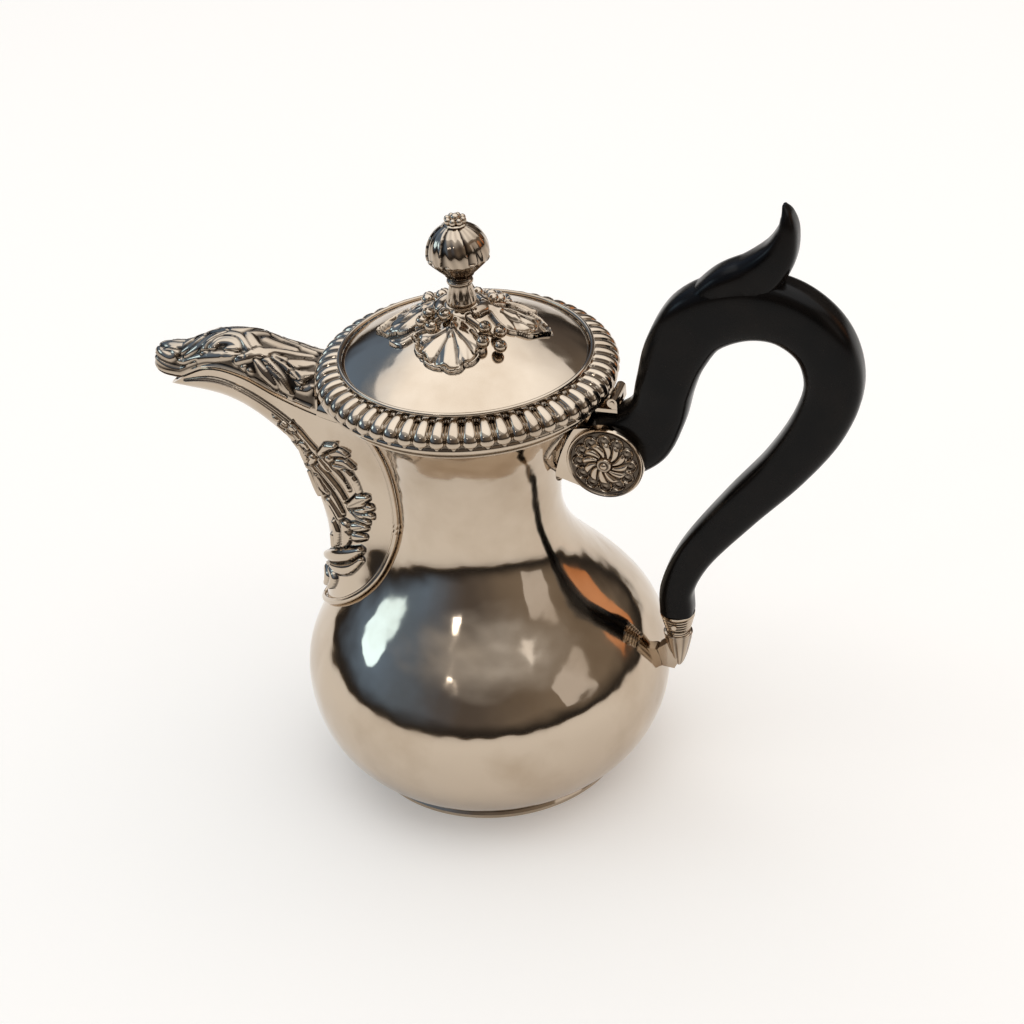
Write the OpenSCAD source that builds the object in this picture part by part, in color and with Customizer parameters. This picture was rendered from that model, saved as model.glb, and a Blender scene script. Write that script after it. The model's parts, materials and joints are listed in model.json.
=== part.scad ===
/* [Body] */
// Greatest radius of the belly
belly_r = 58; // [54:0.5:62]
// Height of the belly's widest line
belly_z = 35; // [31:0.5:39]
// Radius where the belly meets its foot
base_r = 41; // [38:0.5:43]
// Radius of the waist of the neck
waist_r = 26; // [24:0.5:28]
// Height of the waist of the neck
waist_z = 95; // [92:0.5:98]
// Radius of the neck at its mouth
mouth_r = 38.4; // [37:0.2:40]
// Height of the neck at its mouth
mouth_z = 133.2; // [131:0.2:135]
// Thickness of the raised silver sheet
sheet = 1.2; // [0.9:0.1:1.5]
// Height of the foot ring
foot_h = 2.4; // [1.6:0.2:3.6]
// Diameter of the strainer holes behind the spout
strain_d = 5.4; // [4:0.2:6]

/* [Lid] */
// Greatest radius of the gadrooned border
rim_r = 45.5; // [44:0.25:47]
// Number of gadroons round the border
gadroons = 58; // [44:2:64]
// Radius of the edge of the dome
dome_r = 37; // [36:0.25:38]
// Height of the dome above its edge
dome_rise = 17; // [14:0.5:19]
// Radius of the finial bud
bud_r = 9.4; // [8:0.2:10]
// Height of the finial stem
stem_h = 9; // [8:0.5:11]
// Radius of the bezel under the lid
bezel_r = 34; // [33:0.2:34.4]

/* [Hinge] */
// Distance of the hinge pin from the axis of the pot
hinge_x = 45.6; // [45.4:0.2:46.4]
// Radius of the hinge knuckles
knuckle_r = 1.5; // [1.3:0.1:1.6]
// Diameter of the hinge pin
pin_d = 1.4; // [1:0.1:1.8]
// Length of the hinge
hinge_w = 11; // [9:0.5:14]
// Length of the lid's own knuckle
lug_w = 4.4; // [3:0.2:6]

/* [Spout] */
// Distance of the lip from the axis of the pot
lip_x = 96.8; // [93:0.5:100]
// Half the width of the spout at its lip
lip_half = 6; // [5:0.25:7]
// Half the width of the spout where the cover starts
throat_half = 12.4; // [11:0.25:13]
// Half the angle that the spout's seat spans round the neck
seat_angle = 37; // [34:0.5:40]
// Thickness of the cast cover
cover_t = 1.6; // [1.2:0.1:2.2]
// Radius of the moulding round the spout's seat
seat_wire_r = 0.8; // [0.5:0.1:1.1]

/* [Handle] */
// Distance of the scroll's centre from the axis of the pot
scroll_x = 43.6; // [42.6:0.2:45]
// Height of the scroll's centre
scroll_z = 116.5; // [115:0.5:118]
// Radius of the rosettes on the scroll
rosette_r = 11.7; // [11:0.1:12.2]
// Thickness of the wood at the arch
wood_t = 14.4; // [12:0.4:16]
// Thickness of the wood at the scroll
scroll_t = 12.4; // [11:0.2:13]
// Distance of the back of the loop's middle line from the axis
loop_x = 109.3; // [106:0.5:112]
// Height of the middle line of the arch
arch_z = 168; // [166:0.5:171]
// Height of the tip of the thumb piece above the arch
thumb_rise = 32; // [27:0.5:34]
// Distance of the lower socket from the axis
socket_x = 62.4; // [62:0.2:64]
// Height of the mouth of the lower socket
socket_z = 60; // [58:0.5:62]
// Outer radius of the lower socket
socket_r = 5.2; // [4.8:0.1:5.6]

/* [Fits] */
// Gap left between silver pieces for the solder
seat_gap = 0.12; // [0.05:0.01:0.2]
// Gap between the closed lid and the mouth
lid_gap = 0.25; // [0.15:0.05:0.4]
// Running clearance of the hinge pin in its knuckles
pin_gap = 0.05; // [0.02:0.01:0.08]

/* [Hidden] */
$fn = 72;
silver = [0.80, 0.77, 0.72];
bright = [0.86, 0.84, 0.80];
ebony = [0.07, 0.06, 0.06];

// ---- curves ----
function cubic(a, b, c, d, t) =
    pow(1 - t, 3) * a + 3 * pow(1 - t, 2) * t * b + 3 * (1 - t) * t * t * c + pow(t, 3) * d;
function arc_points(a, b, c, d, steps) = [for (i = [0:steps]) cubic(a, b, c, d, i / steps)];
// smooth curve through a list of stations, u running from 0 to 1
function station(list, i) = list[max(0, min(len(list) - 1, i))];
function through(list, u) =
    let (s = min(max(u, 0), 0.99999) * (len(list) - 1), i = floor(s), t = s - i,
         p = station(list, i), q = station(list, i + 1),
         m = (q - (i == 0 ? p : station(list, i - 1))) / (i == 0 ? 1 : 2),
         n = ((i + 2 > len(list) - 1 ? q : station(list, i + 2)) - p)
             / (i + 2 > len(list) - 1 ? 1 : 2))
    (2 * pow(t, 3) - 3 * t * t + 1) * p + (pow(t, 3) - 2 * t * t + t) * m
    + (3 * t * t - 2 * pow(t, 3)) * q + (pow(t, 3) - t * t) * n;
function unit(v) = v / norm(v);
// the same line moved sideways by a thickness, towards the axis
function inward(line, t) = [for (i = [0:len(line) - 1])
    let (d = unit(station(line, i + 1) - station(line, i - 1)))
    line[i] + t * [-d[1], d[0]]];
// height of a profile of [radius, height] points at a radius or the other way round
function look_up(line, value, key, out) =
    let (hits = [for (i = [0:len(line) - 2])
        if ((line[i][key] - value) * (line[i + 1][key] - value) <= 0 && line[i][key] != line[i + 1][key])
            line[i][out] + (value - line[i][key]) / (line[i + 1][key] - line[i][key])
            * (line[i + 1][out] - line[i][out])])
    hits[0];

// ---- lofted solids ----
// closed rings of points joined into one solid, with flat ends
module loft(rings) {
    count = len(rings[0]);
    last = len(rings) - 1;
    sides = [for (i = [0:last - 1], j = [0:count - 1])
        let (k = (j + 1) % count)
        each [[i * count + j, (i + 1) * count + k, i * count + k],
              [i * count + j, (i + 1) * count + j, (i + 1) * count + k]]];
    caps = [[for (j = [0:count - 1]) j], [for (j = [count - 1:-1:0]) last * count + j]];
    polyhedron([for (ring = rings) each ring], concat(sides, caps));
}
// open channels: each ring runs out along the outer skin and back along the inner one
module channel(rings) {
    count = len(rings[0]);
    half = count / 2;
    last = len(rings) - 1;
    sides = [for (i = [0:last - 1], j = [0:count - 1])
        let (k = (j + 1) % count)
        each [[i * count + j, i * count + k, (i + 1) * count + k],
              [i * count + j, (i + 1) * count + k, (i + 1) * count + j]]];
    ends = [for (i = [0, last], j = [0:half - 2])
        let (a = i * count + j, b = i * count + j + 1,
             c = i * count + count - 2 - j, d = i * count + count - 1 - j)
        each i == 0 ? [[a, c, b], [a, d, c]] : [[a, b, c], [a, c, d]]];
    polyhedron([for (ring = rings) each ring], concat(sides, ends));
}
// a round wire along a list of points
module wire(path, r, sides = 8) {
    loft([for (i = [0:len(path) - 1])
        let (d = unit(station(path, i + 1) - station(path, i - 1)),
             a = unit(cross(d, [0.13, 0.07, 0.99])), b = cross(d, a))
        [for (j = [0:sides - 1])
            path[i] + r * (a * cos(360 * j / sides) + b * sin(360 * j / sides))]]);
}

// ---- cast leaves ----
// height of a leaf across its width, as a share of its rise: folds beside a grooved midrib
leaf_folds = [[-1, 0.1], [-0.68, 1], [-0.34, 0.75], [0, 0.35], [0.34, 0.75], [0.68, 1], [1, 0.1]];
leaf_floor = 0.5;
// half width of a leaf at a share t of its length: full is small where it widens near its stalk
function leaf_half(t, half, full, lobes) =
    half * (0.14 + pow(sin(180 * pow(t, full)), 0.8)) * (lobes == 0 ? 1 : 1 + 0.2 * cos(360 * lobes * t));
// at(t, s, lift) gives a point along the leaf, across it from -1 to 1, and over the skin below it
module leaf(at, rise, steps, mirrored = false) {
    rings = [for (i = [0:steps]) let (t = i / steps) concat(
        [for (fold = leaf_folds) at(t, fold[0], leaf_floor + rise * fold[1])],
        [for (s = [0.6, 0, -0.6]) at(t, s, leaf_floor)])];
    loft(mirrored ? [for (ring = rings) [for (j = [len(ring) - 1:-1:0]) ring[j]]] : rings);
}

// ---- body ----
belly_out = 26;
belly_up = 25;
body_line = concat(
    arc_points([base_r, foot_h], [base_r + 9, foot_h + 7], [belly_r, belly_z - 17],
               [belly_r, belly_z], 10),
    [for (i = [1:14]) cubic([belly_r, belly_z], [belly_r, belly_z + belly_up],
        [waist_r, waist_z - belly_out], [waist_r, waist_z], i / 14)],
    [for (i = [1:12]) cubic([waist_r, waist_z], [waist_r, waist_z + 17],
        [waist_r + 4.6, mouth_z - 8], [mouth_r, mouth_z], i / 12)]);
body_inner = inward(body_line, sheet);
function body_radius(z) = look_up(body_line, z, 1, 0);
mouth_in = look_up(body_inner, mouth_z, 1, 0);
// a point at a height and turn, lifted off the body's skin along its normal
function off_body(z, turn, lift) =
    let (slope = body_radius(z + 0.5) - body_radius(z - 0.5),
         r = body_radius(z) + lift / norm([1, slope]))
    [-r * cos(turn), r * sin(turn), z - lift * slope / norm([1, slope])];

module body_solid(grow = 0) {
    rotate_extrude()
        polygon(concat([[0, foot_h - grow]], [for (p = inward(body_line, -grow)) [p[0], p[1]]],
                       [[0, mouth_z]]));
}

strain_pitch = 8.2;
strain_rows = 5;
strain_low = waist_z - 19;
module body_shell() {
    inner = [for (p = body_inner) if (p[1] > foot_h + sheet && p[1] < mouth_z) p];
    color(silver) difference() {
        rotate_extrude()
            polygon(concat([[0, foot_h]], body_line, [[mouth_in, mouth_z]],
                           [for (i = [len(inner) - 1:-1:0]) inner[i]], [[0, foot_h + sheet]]));
        for (row = [0:strain_rows - 1], side = [-1:1]) if ((row + side) % 2 == 0)
            translate([0, side * strain_pitch, strain_low + row * strain_pitch])
                rotate([0, -90, 0]) cylinder(d = strain_d, h = belly_r, $fn = 32);
    }
}

// a turned foot with a flat bottom, which carries the body on its rim
module foot_base() {
    web = 0.9;
    color(bright) rotate_extrude() polygon([
        [0, 0], [base_r + 0.4, 0], [base_r + 0.9, 0.5], [base_r + 0.9, foot_h - 0.9],
        [base_r + 0.3, foot_h - seat_gap], [base_r - 2.6, foot_h - seat_gap],
        [base_r - 2.6, web], [0, web]]);
}

flange_r = rim_r - 4;
flange_in = mouth_in;
flange_z = mouth_z + seat_gap;
flange_h = 1.5;
lid_z = flange_z + flange_h + lid_gap;
module mouth_flange() {
    color(bright) rotate_extrude() polygon(concat(
        [[flange_in, flange_z], [flange_r - 0.6, flange_z]],
        [for (a = [-90:30:90]) [flange_r - 0.4 + 0.4 * cos(a), flange_z + 0.4 + 0.4 * sin(a)]],
        [for (a = [-90:30:90]) [flange_r - 0.7 + 0.4 * cos(a), flange_z + 1.1 + 0.4 * sin(a)]],
        [[flange_in, flange_z + flange_h]]));
}

// ---- spout ----
// stations from the seat to the lip: top edge x, top edge z, front x, front z,
// half width at the top edge, share of that width kept at the front
throat_z = mouth_z - 8;
spout_keys = [
    [-44.5, throat_z - 0.2, -49.4, 76, throat_half, 0.5],
    [-57, throat_z + 3.3, -52.8, 99.5, throat_half * 0.86, 0.52],
    [-69.5, throat_z + 8.5, -62.6, 112.6, throat_half * 0.75, 0.56],
    [-80.5, throat_z + 9.6, -76.8, 121.8, throat_half * 0.4 + lip_half * 0.5, 0.62],
    [5.6 - lip_x, throat_z + 4.6, -lip_x, throat_z + 0.2, lip_half, 0.7]];
spout_steps = 10;
spout_stations = 20;
seat_low = 51;
seat_turn = 24;
// how wide the section is at a depth w, from 0 at the top edge to 1 at the front
function section_half(b, kept, w) = b * (1 - (1 - kept) * w) * sqrt(1 - pow(w, 5));
function depth(j) = sin(90 * j / spout_steps);
function seat_half(z) = seat_angle * pow(min(1, max(0, (z - seat_low) / seat_turn)), 0.65);
function seat_point(w, side, skin) =
    let (top = throat_z + 0.8, low = seat_low + skin * 1.6, z = top + (low - top) * w,
         a = max(0, seat_half(z - skin * 1.4) - skin * 62 / body_radius(z)))
    off_body(z, side * a, seat_gap + 0.1);
function key_point(key, w, side, skin) =
    let (top = [key[0], key[1]], front = [key[2], key[3]],
         back = unit(top - front) * skin * 1.3,
         p = top + (front + back - top) * w)
    [p[0], side * section_half(key[4] - skin, key[5], w), p[1]];
function skin_point(u, w, side, skin) =
    through(concat([seat_point(w, side, skin)],
                   [for (key = spout_keys) key_point(key, w, side, skin)]), u);
function spout_ring(u) = concat(
    [for (j = [0:spout_steps]) skin_point(u, depth(j), -1, 0)],
    [for (j = [spout_steps - 1:-1:0]) skin_point(u, depth(j), 1, 0)],
    [for (j = [0:spout_steps]) skin_point(u, depth(j), 1, sheet)],
    [for (j = [spout_steps - 1:-1:0]) skin_point(u, depth(j), -1, sheet)]);
module spout_shell() {
    color(silver) channel([for (i = [0:spout_stations]) spout_ring(i / spout_stations)]);
}

// the cover is a vault on the two top edges: low under the lid's rim, then high to the nose
cover_steps = 12;
crown_keys = [13.6, 13.6, 12.4, 10.6, 8.6, 9.4];
cover_start = 0.2;
cover_front = rim_r + 1;
throat_h = mouth_z - throat_z - 1.7;
// one arch of the vault; up to the place where it turns up in front of the rim, it bends
// round the axis of the pot and keeps off the neck
function arch(u, h, skin) =
    let (edge = skin_point(u, 0, -1, 0), b = -edge[1] - skin)
    [for (j = [0:cover_steps])
        let (a = 180 * j / cover_steps, y = b * cos(a),
             z = edge[2] + seat_gap + (h - skin) * pow(sin(a), 0.8),
             r = u == cover_start ? cover_front + skin
                 : max(norm([edge[0], edge[1]]), body_radius(min(z, mouth_z)) + 0.4))
        [u > cover_start ? edge[0] : -sqrt(r * r - y * y), y, z]];
function arch_wall(u, h) =
    concat(arch(u, h, 0), [for (j = [cover_steps:-1:0]) arch(u, h, cover_t)[j]]);
module spout_cover() {
    // how far the nose runs on, how much it lifts, and what is left of its width and height
    nose = [[0, 0, 1, 1], [2.2, 0.2, 0.98, 0.92], [5.6, 0.8, 0.86, 0.78], [8.4, 2, 0.6, 0.52],
            [9.8, 3.4, 0.2, 0.18]];
    runs = [for (i = [1:14]) cover_start + (1 - cover_start) * i / 14];
    last = arch(1, through(crown_keys, 1), 0);
    color(silver) union() {
        channel(concat([for (i = [0.1, 0.4, 0.7, 1]) arch_wall(cover_start * i, throat_h)],
                       [arch_wall(cover_start, through(crown_keys, cover_start))],
                       [for (u = runs) arch_wall(u, through(crown_keys, u))]));
        loft([for (step = nose)
            [for (j = [cover_steps:-1:0])
                [last[j][0] - step[0], last[j][1] * step[2],
                 last[0][2] + step[1] + (last[j][2] - last[0][2]) * step[3]]]]);
    }
}

module spout_border_wires() {
    color(bright) for (side = [-1, 1])
        wire([for (i = [0:20]) let (u = 0.38 + 0.58 * i / 20) skin_point(u, 0.3, side, -0.75)], 0.5, 6);
}

module spout_seat_wire() {
    top = throat_z + 0.8;
    low = seat_low - 1.8;
    function beside(w, side) =
        let (z = top + (low - top) * w)
        off_body(z, side * (seat_half(z + 1.4) + 80 / body_radius(z)) * sqrt(1 - pow(w, 12)),
                 seat_wire_r + seat_gap);
    path = concat([for (j = [0:18]) beside(depth(j * spout_steps / 18), -1)],
                  [for (j = [17:-1:0]) beside(depth(j * spout_steps / 18), 1)]);
    color(bright) wire(path, seat_wire_r, 6);
}

// leaves on the spout's side, each from one place (u, w) on its skin to another
u_length = norm(skin_point(0.4, 0.4, 1, 0) - skin_point(0.1, 0.4, 1, 0)) / 0.3;
w_length = norm(skin_point(0.1, 0.8, 1, 0) - skin_point(0.1, 0.3, 1, 0)) / 0.5;
function on_spout(from, to, half, full, lobes, side) =
    let (run = [(to[0] - from[0]) * u_length, (to[1] - from[1]) * w_length],
         across = [-run[1], run[0]] / norm(run))
    function (t, s, lift)
        let (p = from + (to - from) * t, shift = s * leaf_half(t, half, full, lobes))
        skin_point(max(0.015, p[0] + across[0] * shift / u_length),
                   min(0.985, p[1] + across[1] * shift / w_length), side, -lift);
// start, end, half width, fullness near the stalk, lobes, rise
sprays = [
    [[0.46, 0.15], [0.12, 0.46], 1.9, 0.9, 0, 1.3], [[0.50, 0.50], [0.15, 0.56], 1.9, 0.9, 0, 1.4],
    [[0.175, 0.13], [0.095, 0.25], 2.8, 0.8, 2, 1.5], [[0.15, 0.49], [0.065, 0.44], 4, 0.7, 3, 1.5],
    [[0.16, 0.66], [0.065, 0.59], 4, 0.7, 3, 1.5], [[0.155, 0.79], [0.06, 0.71], 2.4, 0.8, 0, 1.7],
    [[0.12, 0.85], [0.05, 0.95], 2.6, 0.8, 2, 1.3]];
module spout_foliage() {
    color(silver) for (side = [-1, 1], spray = sprays)
        leaf(on_spout(spray[0], spray[1], spray[2], spray[3], spray[4], side), spray[5], 8, side < 0);
}

// ---- handle fittings ----
wood_half = scroll_t / 2;
cheek_t = 1.4;
cheek_half = wood_half + seat_gap + cheek_t;
plate_t = 1.3;
plate_half = rosette_r * 1.3;
plate_low = scroll_z - rosette_r * 1.15;
petal_r = plate_half * 0.52;
// one side of the plate's outline, from its top down to its point
plate_side = concat(
    [for (a = [150:-20:-50])
        [plate_half - petal_r + petal_r * cos(a), mouth_z - 6 - petal_r + petal_r * sin(a)]],
    [[plate_half * 0.5, scroll_z], [plate_half * 0.3, plate_low + 4]]);
// a leaf-shaped plate: two broad petals above a pointed one, wrapped round the neck
module bracket_plate() {
    last = len(plate_side) - 1;
    color(silver) intersection() {
        difference() {
            body_solid(seat_gap + plate_t);
            body_solid(seat_gap);
        }
        translate([waist_r / 2, 0, 0]) rotate([90, 0, 90]) linear_extrude(mouth_r)
            polygon(concat(plate_side, [[0, plate_low]],
                           [for (i = [last:-1:0]) [-plate_side[i][0], plate_side[i][1]]]));
    }
}

module handle_bracket() {
    color(silver) difference() {
        translate([0, cheek_half, 0]) rotate([90, 0, 0]) linear_extrude(2 * cheek_half) union() {
            translate([scroll_x, scroll_z]) circle(r = rosette_r);
            polygon([[waist_r - 6, scroll_z - rosette_r * 0.35],
                     [scroll_x - rosette_r * 0.43, scroll_z - rosette_r * 0.9],
                     [scroll_x, scroll_z + rosette_r], [waist_r - 6, scroll_z + rosette_r * 0.65]]);
        }
        body_solid(seat_gap * 2 + plate_t);
        translate([scroll_x, wood_half + seat_gap, scroll_z]) rotate([90, 0, 0])
            cylinder(r = rosette_r + 0.6, h = 2 * (wood_half + seat_gap));
        translate([scroll_x, -wood_half - seat_gap, scroll_z - 2 * rosette_r])
            cube([2 * rosette_r, 2 * (wood_half + seat_gap), 4 * rosette_r]);
        translate([scroll_x, cheek_half + 1, scroll_z]) rotate([90, 0, 0])
            cylinder(r = rivet_r + pin_gap, h = 2 * cheek_half + 2);
    }
}

rivet_r = 1.8;
module rosette(side) {
    petals = 12;
    color(bright) translate([scroll_x, side * (cheek_half + seat_gap), scroll_z]) rotate([side * -90, 0, 0])
        difference() {
            union() {
                cylinder(r = rosette_r - 0.6, h = 1);
                rotate_extrude() translate([rosette_r - 0.7, 0.8]) circle(r = 0.7, $fn = 24);
                for (i = [0:petals - 1]) rotate(360 * i / petals) translate([rosette_r * 0.68, 0, 0.6])
                    rotate_extrude($fn = 32) polygon([[0, 0], [2, 0], [2, 0.7], [1.6, 1.1], [1.2, 0.6], [0, 0.5]]);
                for (i = [0:petals - 1]) rotate(360 * (i + 0.5) / petals) translate([rosette_r * 0.36, 0, 0.5])
                    rotate([0, 90, 0]) cylinder(r = 0.9, h = 3, center = true, $fn = 24);
                cylinder(r = 2.6, h = 2);
            }
            translate([0, 0, -1]) cylinder(r = rivet_r + pin_gap, h = 4);
            translate([0, 0, -2]) cylinder(r = rosette_r + 2, h = 2);
        }
}
module rosette_near() rosette(-1);
module rosette_far() rosette(1);

module scroll_rivet() {
    head = 1.6;
    half = cheek_half + seat_gap + 2 + 0.1;
    color(bright) translate([scroll_x, half, scroll_z]) rotate([90, 0, 0]) {
        cylinder(r = rivet_r, h = 2 * half);
        for (end = [0, 1]) translate([0, 0, end * 2 * half]) mirror([0, 0, 1 - end])
            rotate_extrude() polygon([[0, 0], [2.2, 0], [1.9, 0.8], [1.1, head - 0.2], [0, head]]);
    }
}

// ---- wooden handle ----
// stations of the middle line: x, z, half depth in the handle's plane, half thickness
loop_dx = loop_x - scroll_x;
arch_dz = arch_z - scroll_z;
low_dx = loop_x - socket_x;
low_dz = arch_z - socket_z;
grip_keys = [
    [scroll_x + 0.024 * loop_dx, scroll_z + 0.05 * arch_dz, 11.7, scroll_t / 2],
    [scroll_x + 0.138 * loop_dx, scroll_z + 0.136 * arch_dz, 10.7, scroll_t / 2],
    [scroll_x + 0.222 * loop_dx, scroll_z + 0.29 * arch_dz, 8.6, scroll_t / 2],
    [scroll_x + 0.262 * loop_dx, scroll_z + 0.49 * arch_dz, 8.6, wood_t / 2],
    [scroll_x + 0.315 * loop_dx, scroll_z + 0.70 * arch_dz, 9.4, wood_t / 2],
    [scroll_x + 0.42 * loop_dx, scroll_z + 0.90 * arch_dz, 10, wood_t / 2],
    [scroll_x + 0.61 * loop_dx, arch_z + 0.2, 9.8, wood_t / 2],
    [scroll_x + 0.80 * loop_dx, arch_z - 1, 9.2, wood_t / 2],
    [loop_x - 3.2, arch_z - 9.2, 8.7, wood_t / 2 - 0.2],
    [loop_x + 0.2, arch_z - 22, 8.5, wood_t / 2 - 0.4],
    [loop_x - 0.085 * low_dx, arch_z - 0.335 * low_dz, 8, wood_t / 2 - 0.7],
    [loop_x - 0.29 * low_dx, arch_z - 0.475 * low_dz, 7.1, wood_t / 2 - 1],
    [loop_x - 0.57 * low_dx, arch_z - 0.62 * low_dz, 6.4, wood_t / 2 - 1.3],
    [loop_x - 0.86 * low_dx, arch_z - 0.785 * low_dz, 5.6, socket_r],
    [socket_x + 0.5, socket_z + 10, socket_r, socket_r],
    [socket_x, socket_z + seat_gap + 0.3, socket_r, socket_r]];
thumb_keys = [
    [scroll_x + 0.40 * loop_dx, arch_z - 3, 6, wood_t / 2 - 1.2],
    [scroll_x + 0.54 * loop_dx, arch_z + 4.5, 7.4, wood_t / 2 - 0.6],
    [scroll_x + 0.66 * loop_dx, arch_z + 0.3 * thumb_rise, 6.8, wood_t / 2 - 0.7],
    [scroll_x + 0.755 * loop_dx, arch_z + 0.52 * thumb_rise, 5.2, wood_t / 2 - 1.2],
    [scroll_x + 0.795 * loop_dx, arch_z + 0.74 * thumb_rise, 3.3, wood_t / 2 - 2.2],
    [scroll_x + 0.795 * loop_dx, arch_z + 0.9 * thumb_rise, 1.8, wood_t / 2 - 3.4],
    [scroll_x + 0.78 * loop_dx, arch_z + thumb_rise, 0.5, 1.6]];
// rings of a softened rectangle along a line of stations
function strap_rings(keys, steps, points) = [for (i = [0:steps])
    let (u = i / steps, s = through(keys, u),
         d = unit(through(keys, u + 0.004) - through(keys, u - 0.004)),
         flat = unit([d[0], d[1]]), n = [-flat[1], flat[0]])
    [for (j = [0:points - 1])
        let (a = 360 * (j + 0.5) / points,
             p = s[2] * sign(cos(a)) * pow(abs(cos(a)), 0.62),
             q = s[3] * sign(sin(a)) * pow(abs(sin(a)), 0.62))
        [s[0] + n[0] * p, -q, s[1] + n[1] * p]]];
module handle_grip() {
    color(ebony) difference() {
        union() {
            loft(strap_rings(grip_keys, 44, 18));
            loft(strap_rings(thumb_keys, 12, 18));
            translate([scroll_x, wood_half, scroll_z]) rotate([90, 0, 0])
                cylinder(r = rosette_r - 0.6, h = scroll_t);
            translate([socket_x, 0, socket_z - 5]) cylinder(r = tenon_r, h = 7);
        }
        translate([scroll_x, wood_half + 1, scroll_z]) rotate([90, 0, 0])
            cylinder(r = rivet_r + pin_gap, h = scroll_t + 2);
        translate([socket_x, socket_r + 1, socket_z - 3]) rotate([90, 0, 0])
            cylinder(r = pin_r + pin_gap, h = 2 * socket_r + 2);
    }
}

// ---- lower socket ----
tenon_r = 2.4;
pin_r = 0.8;
socket_h = 7;
module lower_socket() {
    reed = 0.55;
    reeds = 5;
    color(bright) translate([socket_x, 0, socket_z - socket_h]) difference() {
        rotate_extrude() polygon(concat([[0, 0], [socket_r - 1.6, 0]],
            [for (i = [0:reeds - 1], a = [-90:45:90])
                [socket_r - 0.4 - 0.3 * (reeds - 1 - i) + reed * cos(a) * 0.9,
                 0.6 + (i + 0.5) * 2 * reed + reed * sin(a)]],
            [[socket_r + 0.2, socket_h - 0.6], [socket_r + 0.2, socket_h], [0, socket_h]]));
        translate([0, 0, 1.5]) cylinder(r = tenon_r + 0.1, h = socket_h);
        translate([0, socket_r + 1, socket_h - 3]) rotate([90, 0, 0])
            cylinder(r = pin_r + pin_gap, h = 2 * socket_r + 2);
    }
}

module socket_pin() {
    color(bright) translate([socket_x, socket_r + 0.5, socket_z - 3]) rotate([90, 0, 0])
        cylinder(r = pin_r, h = 2 * socket_r + 1, $fn = 24);
}

drop_h = 14;
module socket_drop() {
    color(silver) difference() {
        union() {
            translate([socket_x, 0, socket_z - socket_h - seat_gap]) rotate([0, 180, 0]) rotate_extrude()
                polygon([[0, 0], [socket_r - 1.4, 0], [socket_r - 1.2, 1.2], [socket_r - 1.8, 4],
                         [socket_r - 2.8, 8], [socket_r - 4, 12], [0, drop_h]]);
            translate([socket_x - 9, 2.2, socket_z - socket_h - 13]) rotate([90, 0, 0]) linear_extrude(4.4)
                polygon([[0, 0], [8, -1], [9, 1], [9, 11], [3, 6]]);
        }
        body_solid(seat_gap);
    }
}

// ---- hinge ----
hinge_z = lid_z + 0.1;
leaf_t = 1.1;
knuckle_gap = 0.15;
module hinge_leaf() {
    color(bright) difference() {
        union() {
            translate([flange_r - 1, -hinge_w / 2, flange_z - leaf_t - seat_gap])
                cube([hinge_x + knuckle_r - flange_r + 1, hinge_w, leaf_t]);
            for (side = [-1, 1]) translate([0, side * (hinge_w + lug_w) / 4, 0])
                knuckle(hinge_w / 2 - lug_w / 2 - knuckle_gap);
        }
        hinge_bore();
        body_solid(seat_gap);
    }
}
module knuckle(length) {
    translate([hinge_x, length / 2, hinge_z]) rotate([90, 0, 0]) cylinder(r = knuckle_r, h = length);
    translate([hinge_x - 0.2, -length / 2, flange_z - leaf_t - seat_gap])
        cube([knuckle_r + 0.2, length, hinge_z - flange_z + leaf_t + seat_gap]);
}
module hinge_bore() {
    translate([hinge_x, hinge_w, hinge_z]) rotate([90, 0, 0])
        cylinder(r = pin_d / 2 + pin_gap, h = 2 * hinge_w, $fn = 32);
}
module hinge_pin() {
    color(silver) translate([hinge_x, hinge_w / 2 + 0.3, hinge_z]) rotate([90, 0, 0])
        cylinder(d = pin_d, h = hinge_w + 0.6, $fn = 32);
}
module lid_lug() {
    color(bright) difference() {
        union() {
            translate([hinge_x, lug_w / 2, hinge_z]) rotate([90, 0, 0]) cylinder(r = knuckle_r, h = lug_w);
            translate([rim_plate_r + seat_gap, -lug_w / 2, lid_z])
                cube([hinge_x - rim_plate_r - seat_gap, lug_w, rim_plate_t]);
        }
        hinge_bore();
    }
}

// ---- lid ----
rim_plate_r = rim_r - 3.6;
rim_plate_t = 1;
gad_z = lid_z + rim_plate_t + seat_gap;
gad_h = 8.2;
dome_edge_z = gad_z + gad_h + 0.3;
dome_top_r = 4.4;
dome_line = [for (i = [0:14]) cubic([dome_r, dome_edge_z], [dome_r * 0.82, dome_edge_z + dome_rise * 0.3],
    [dome_r * 0.42, dome_edge_z + dome_rise * 0.58], [dome_top_r, dome_edge_z + dome_rise], i / 14)];
function dome_height(r) = look_up(dome_line, r, 0, 1);
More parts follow.
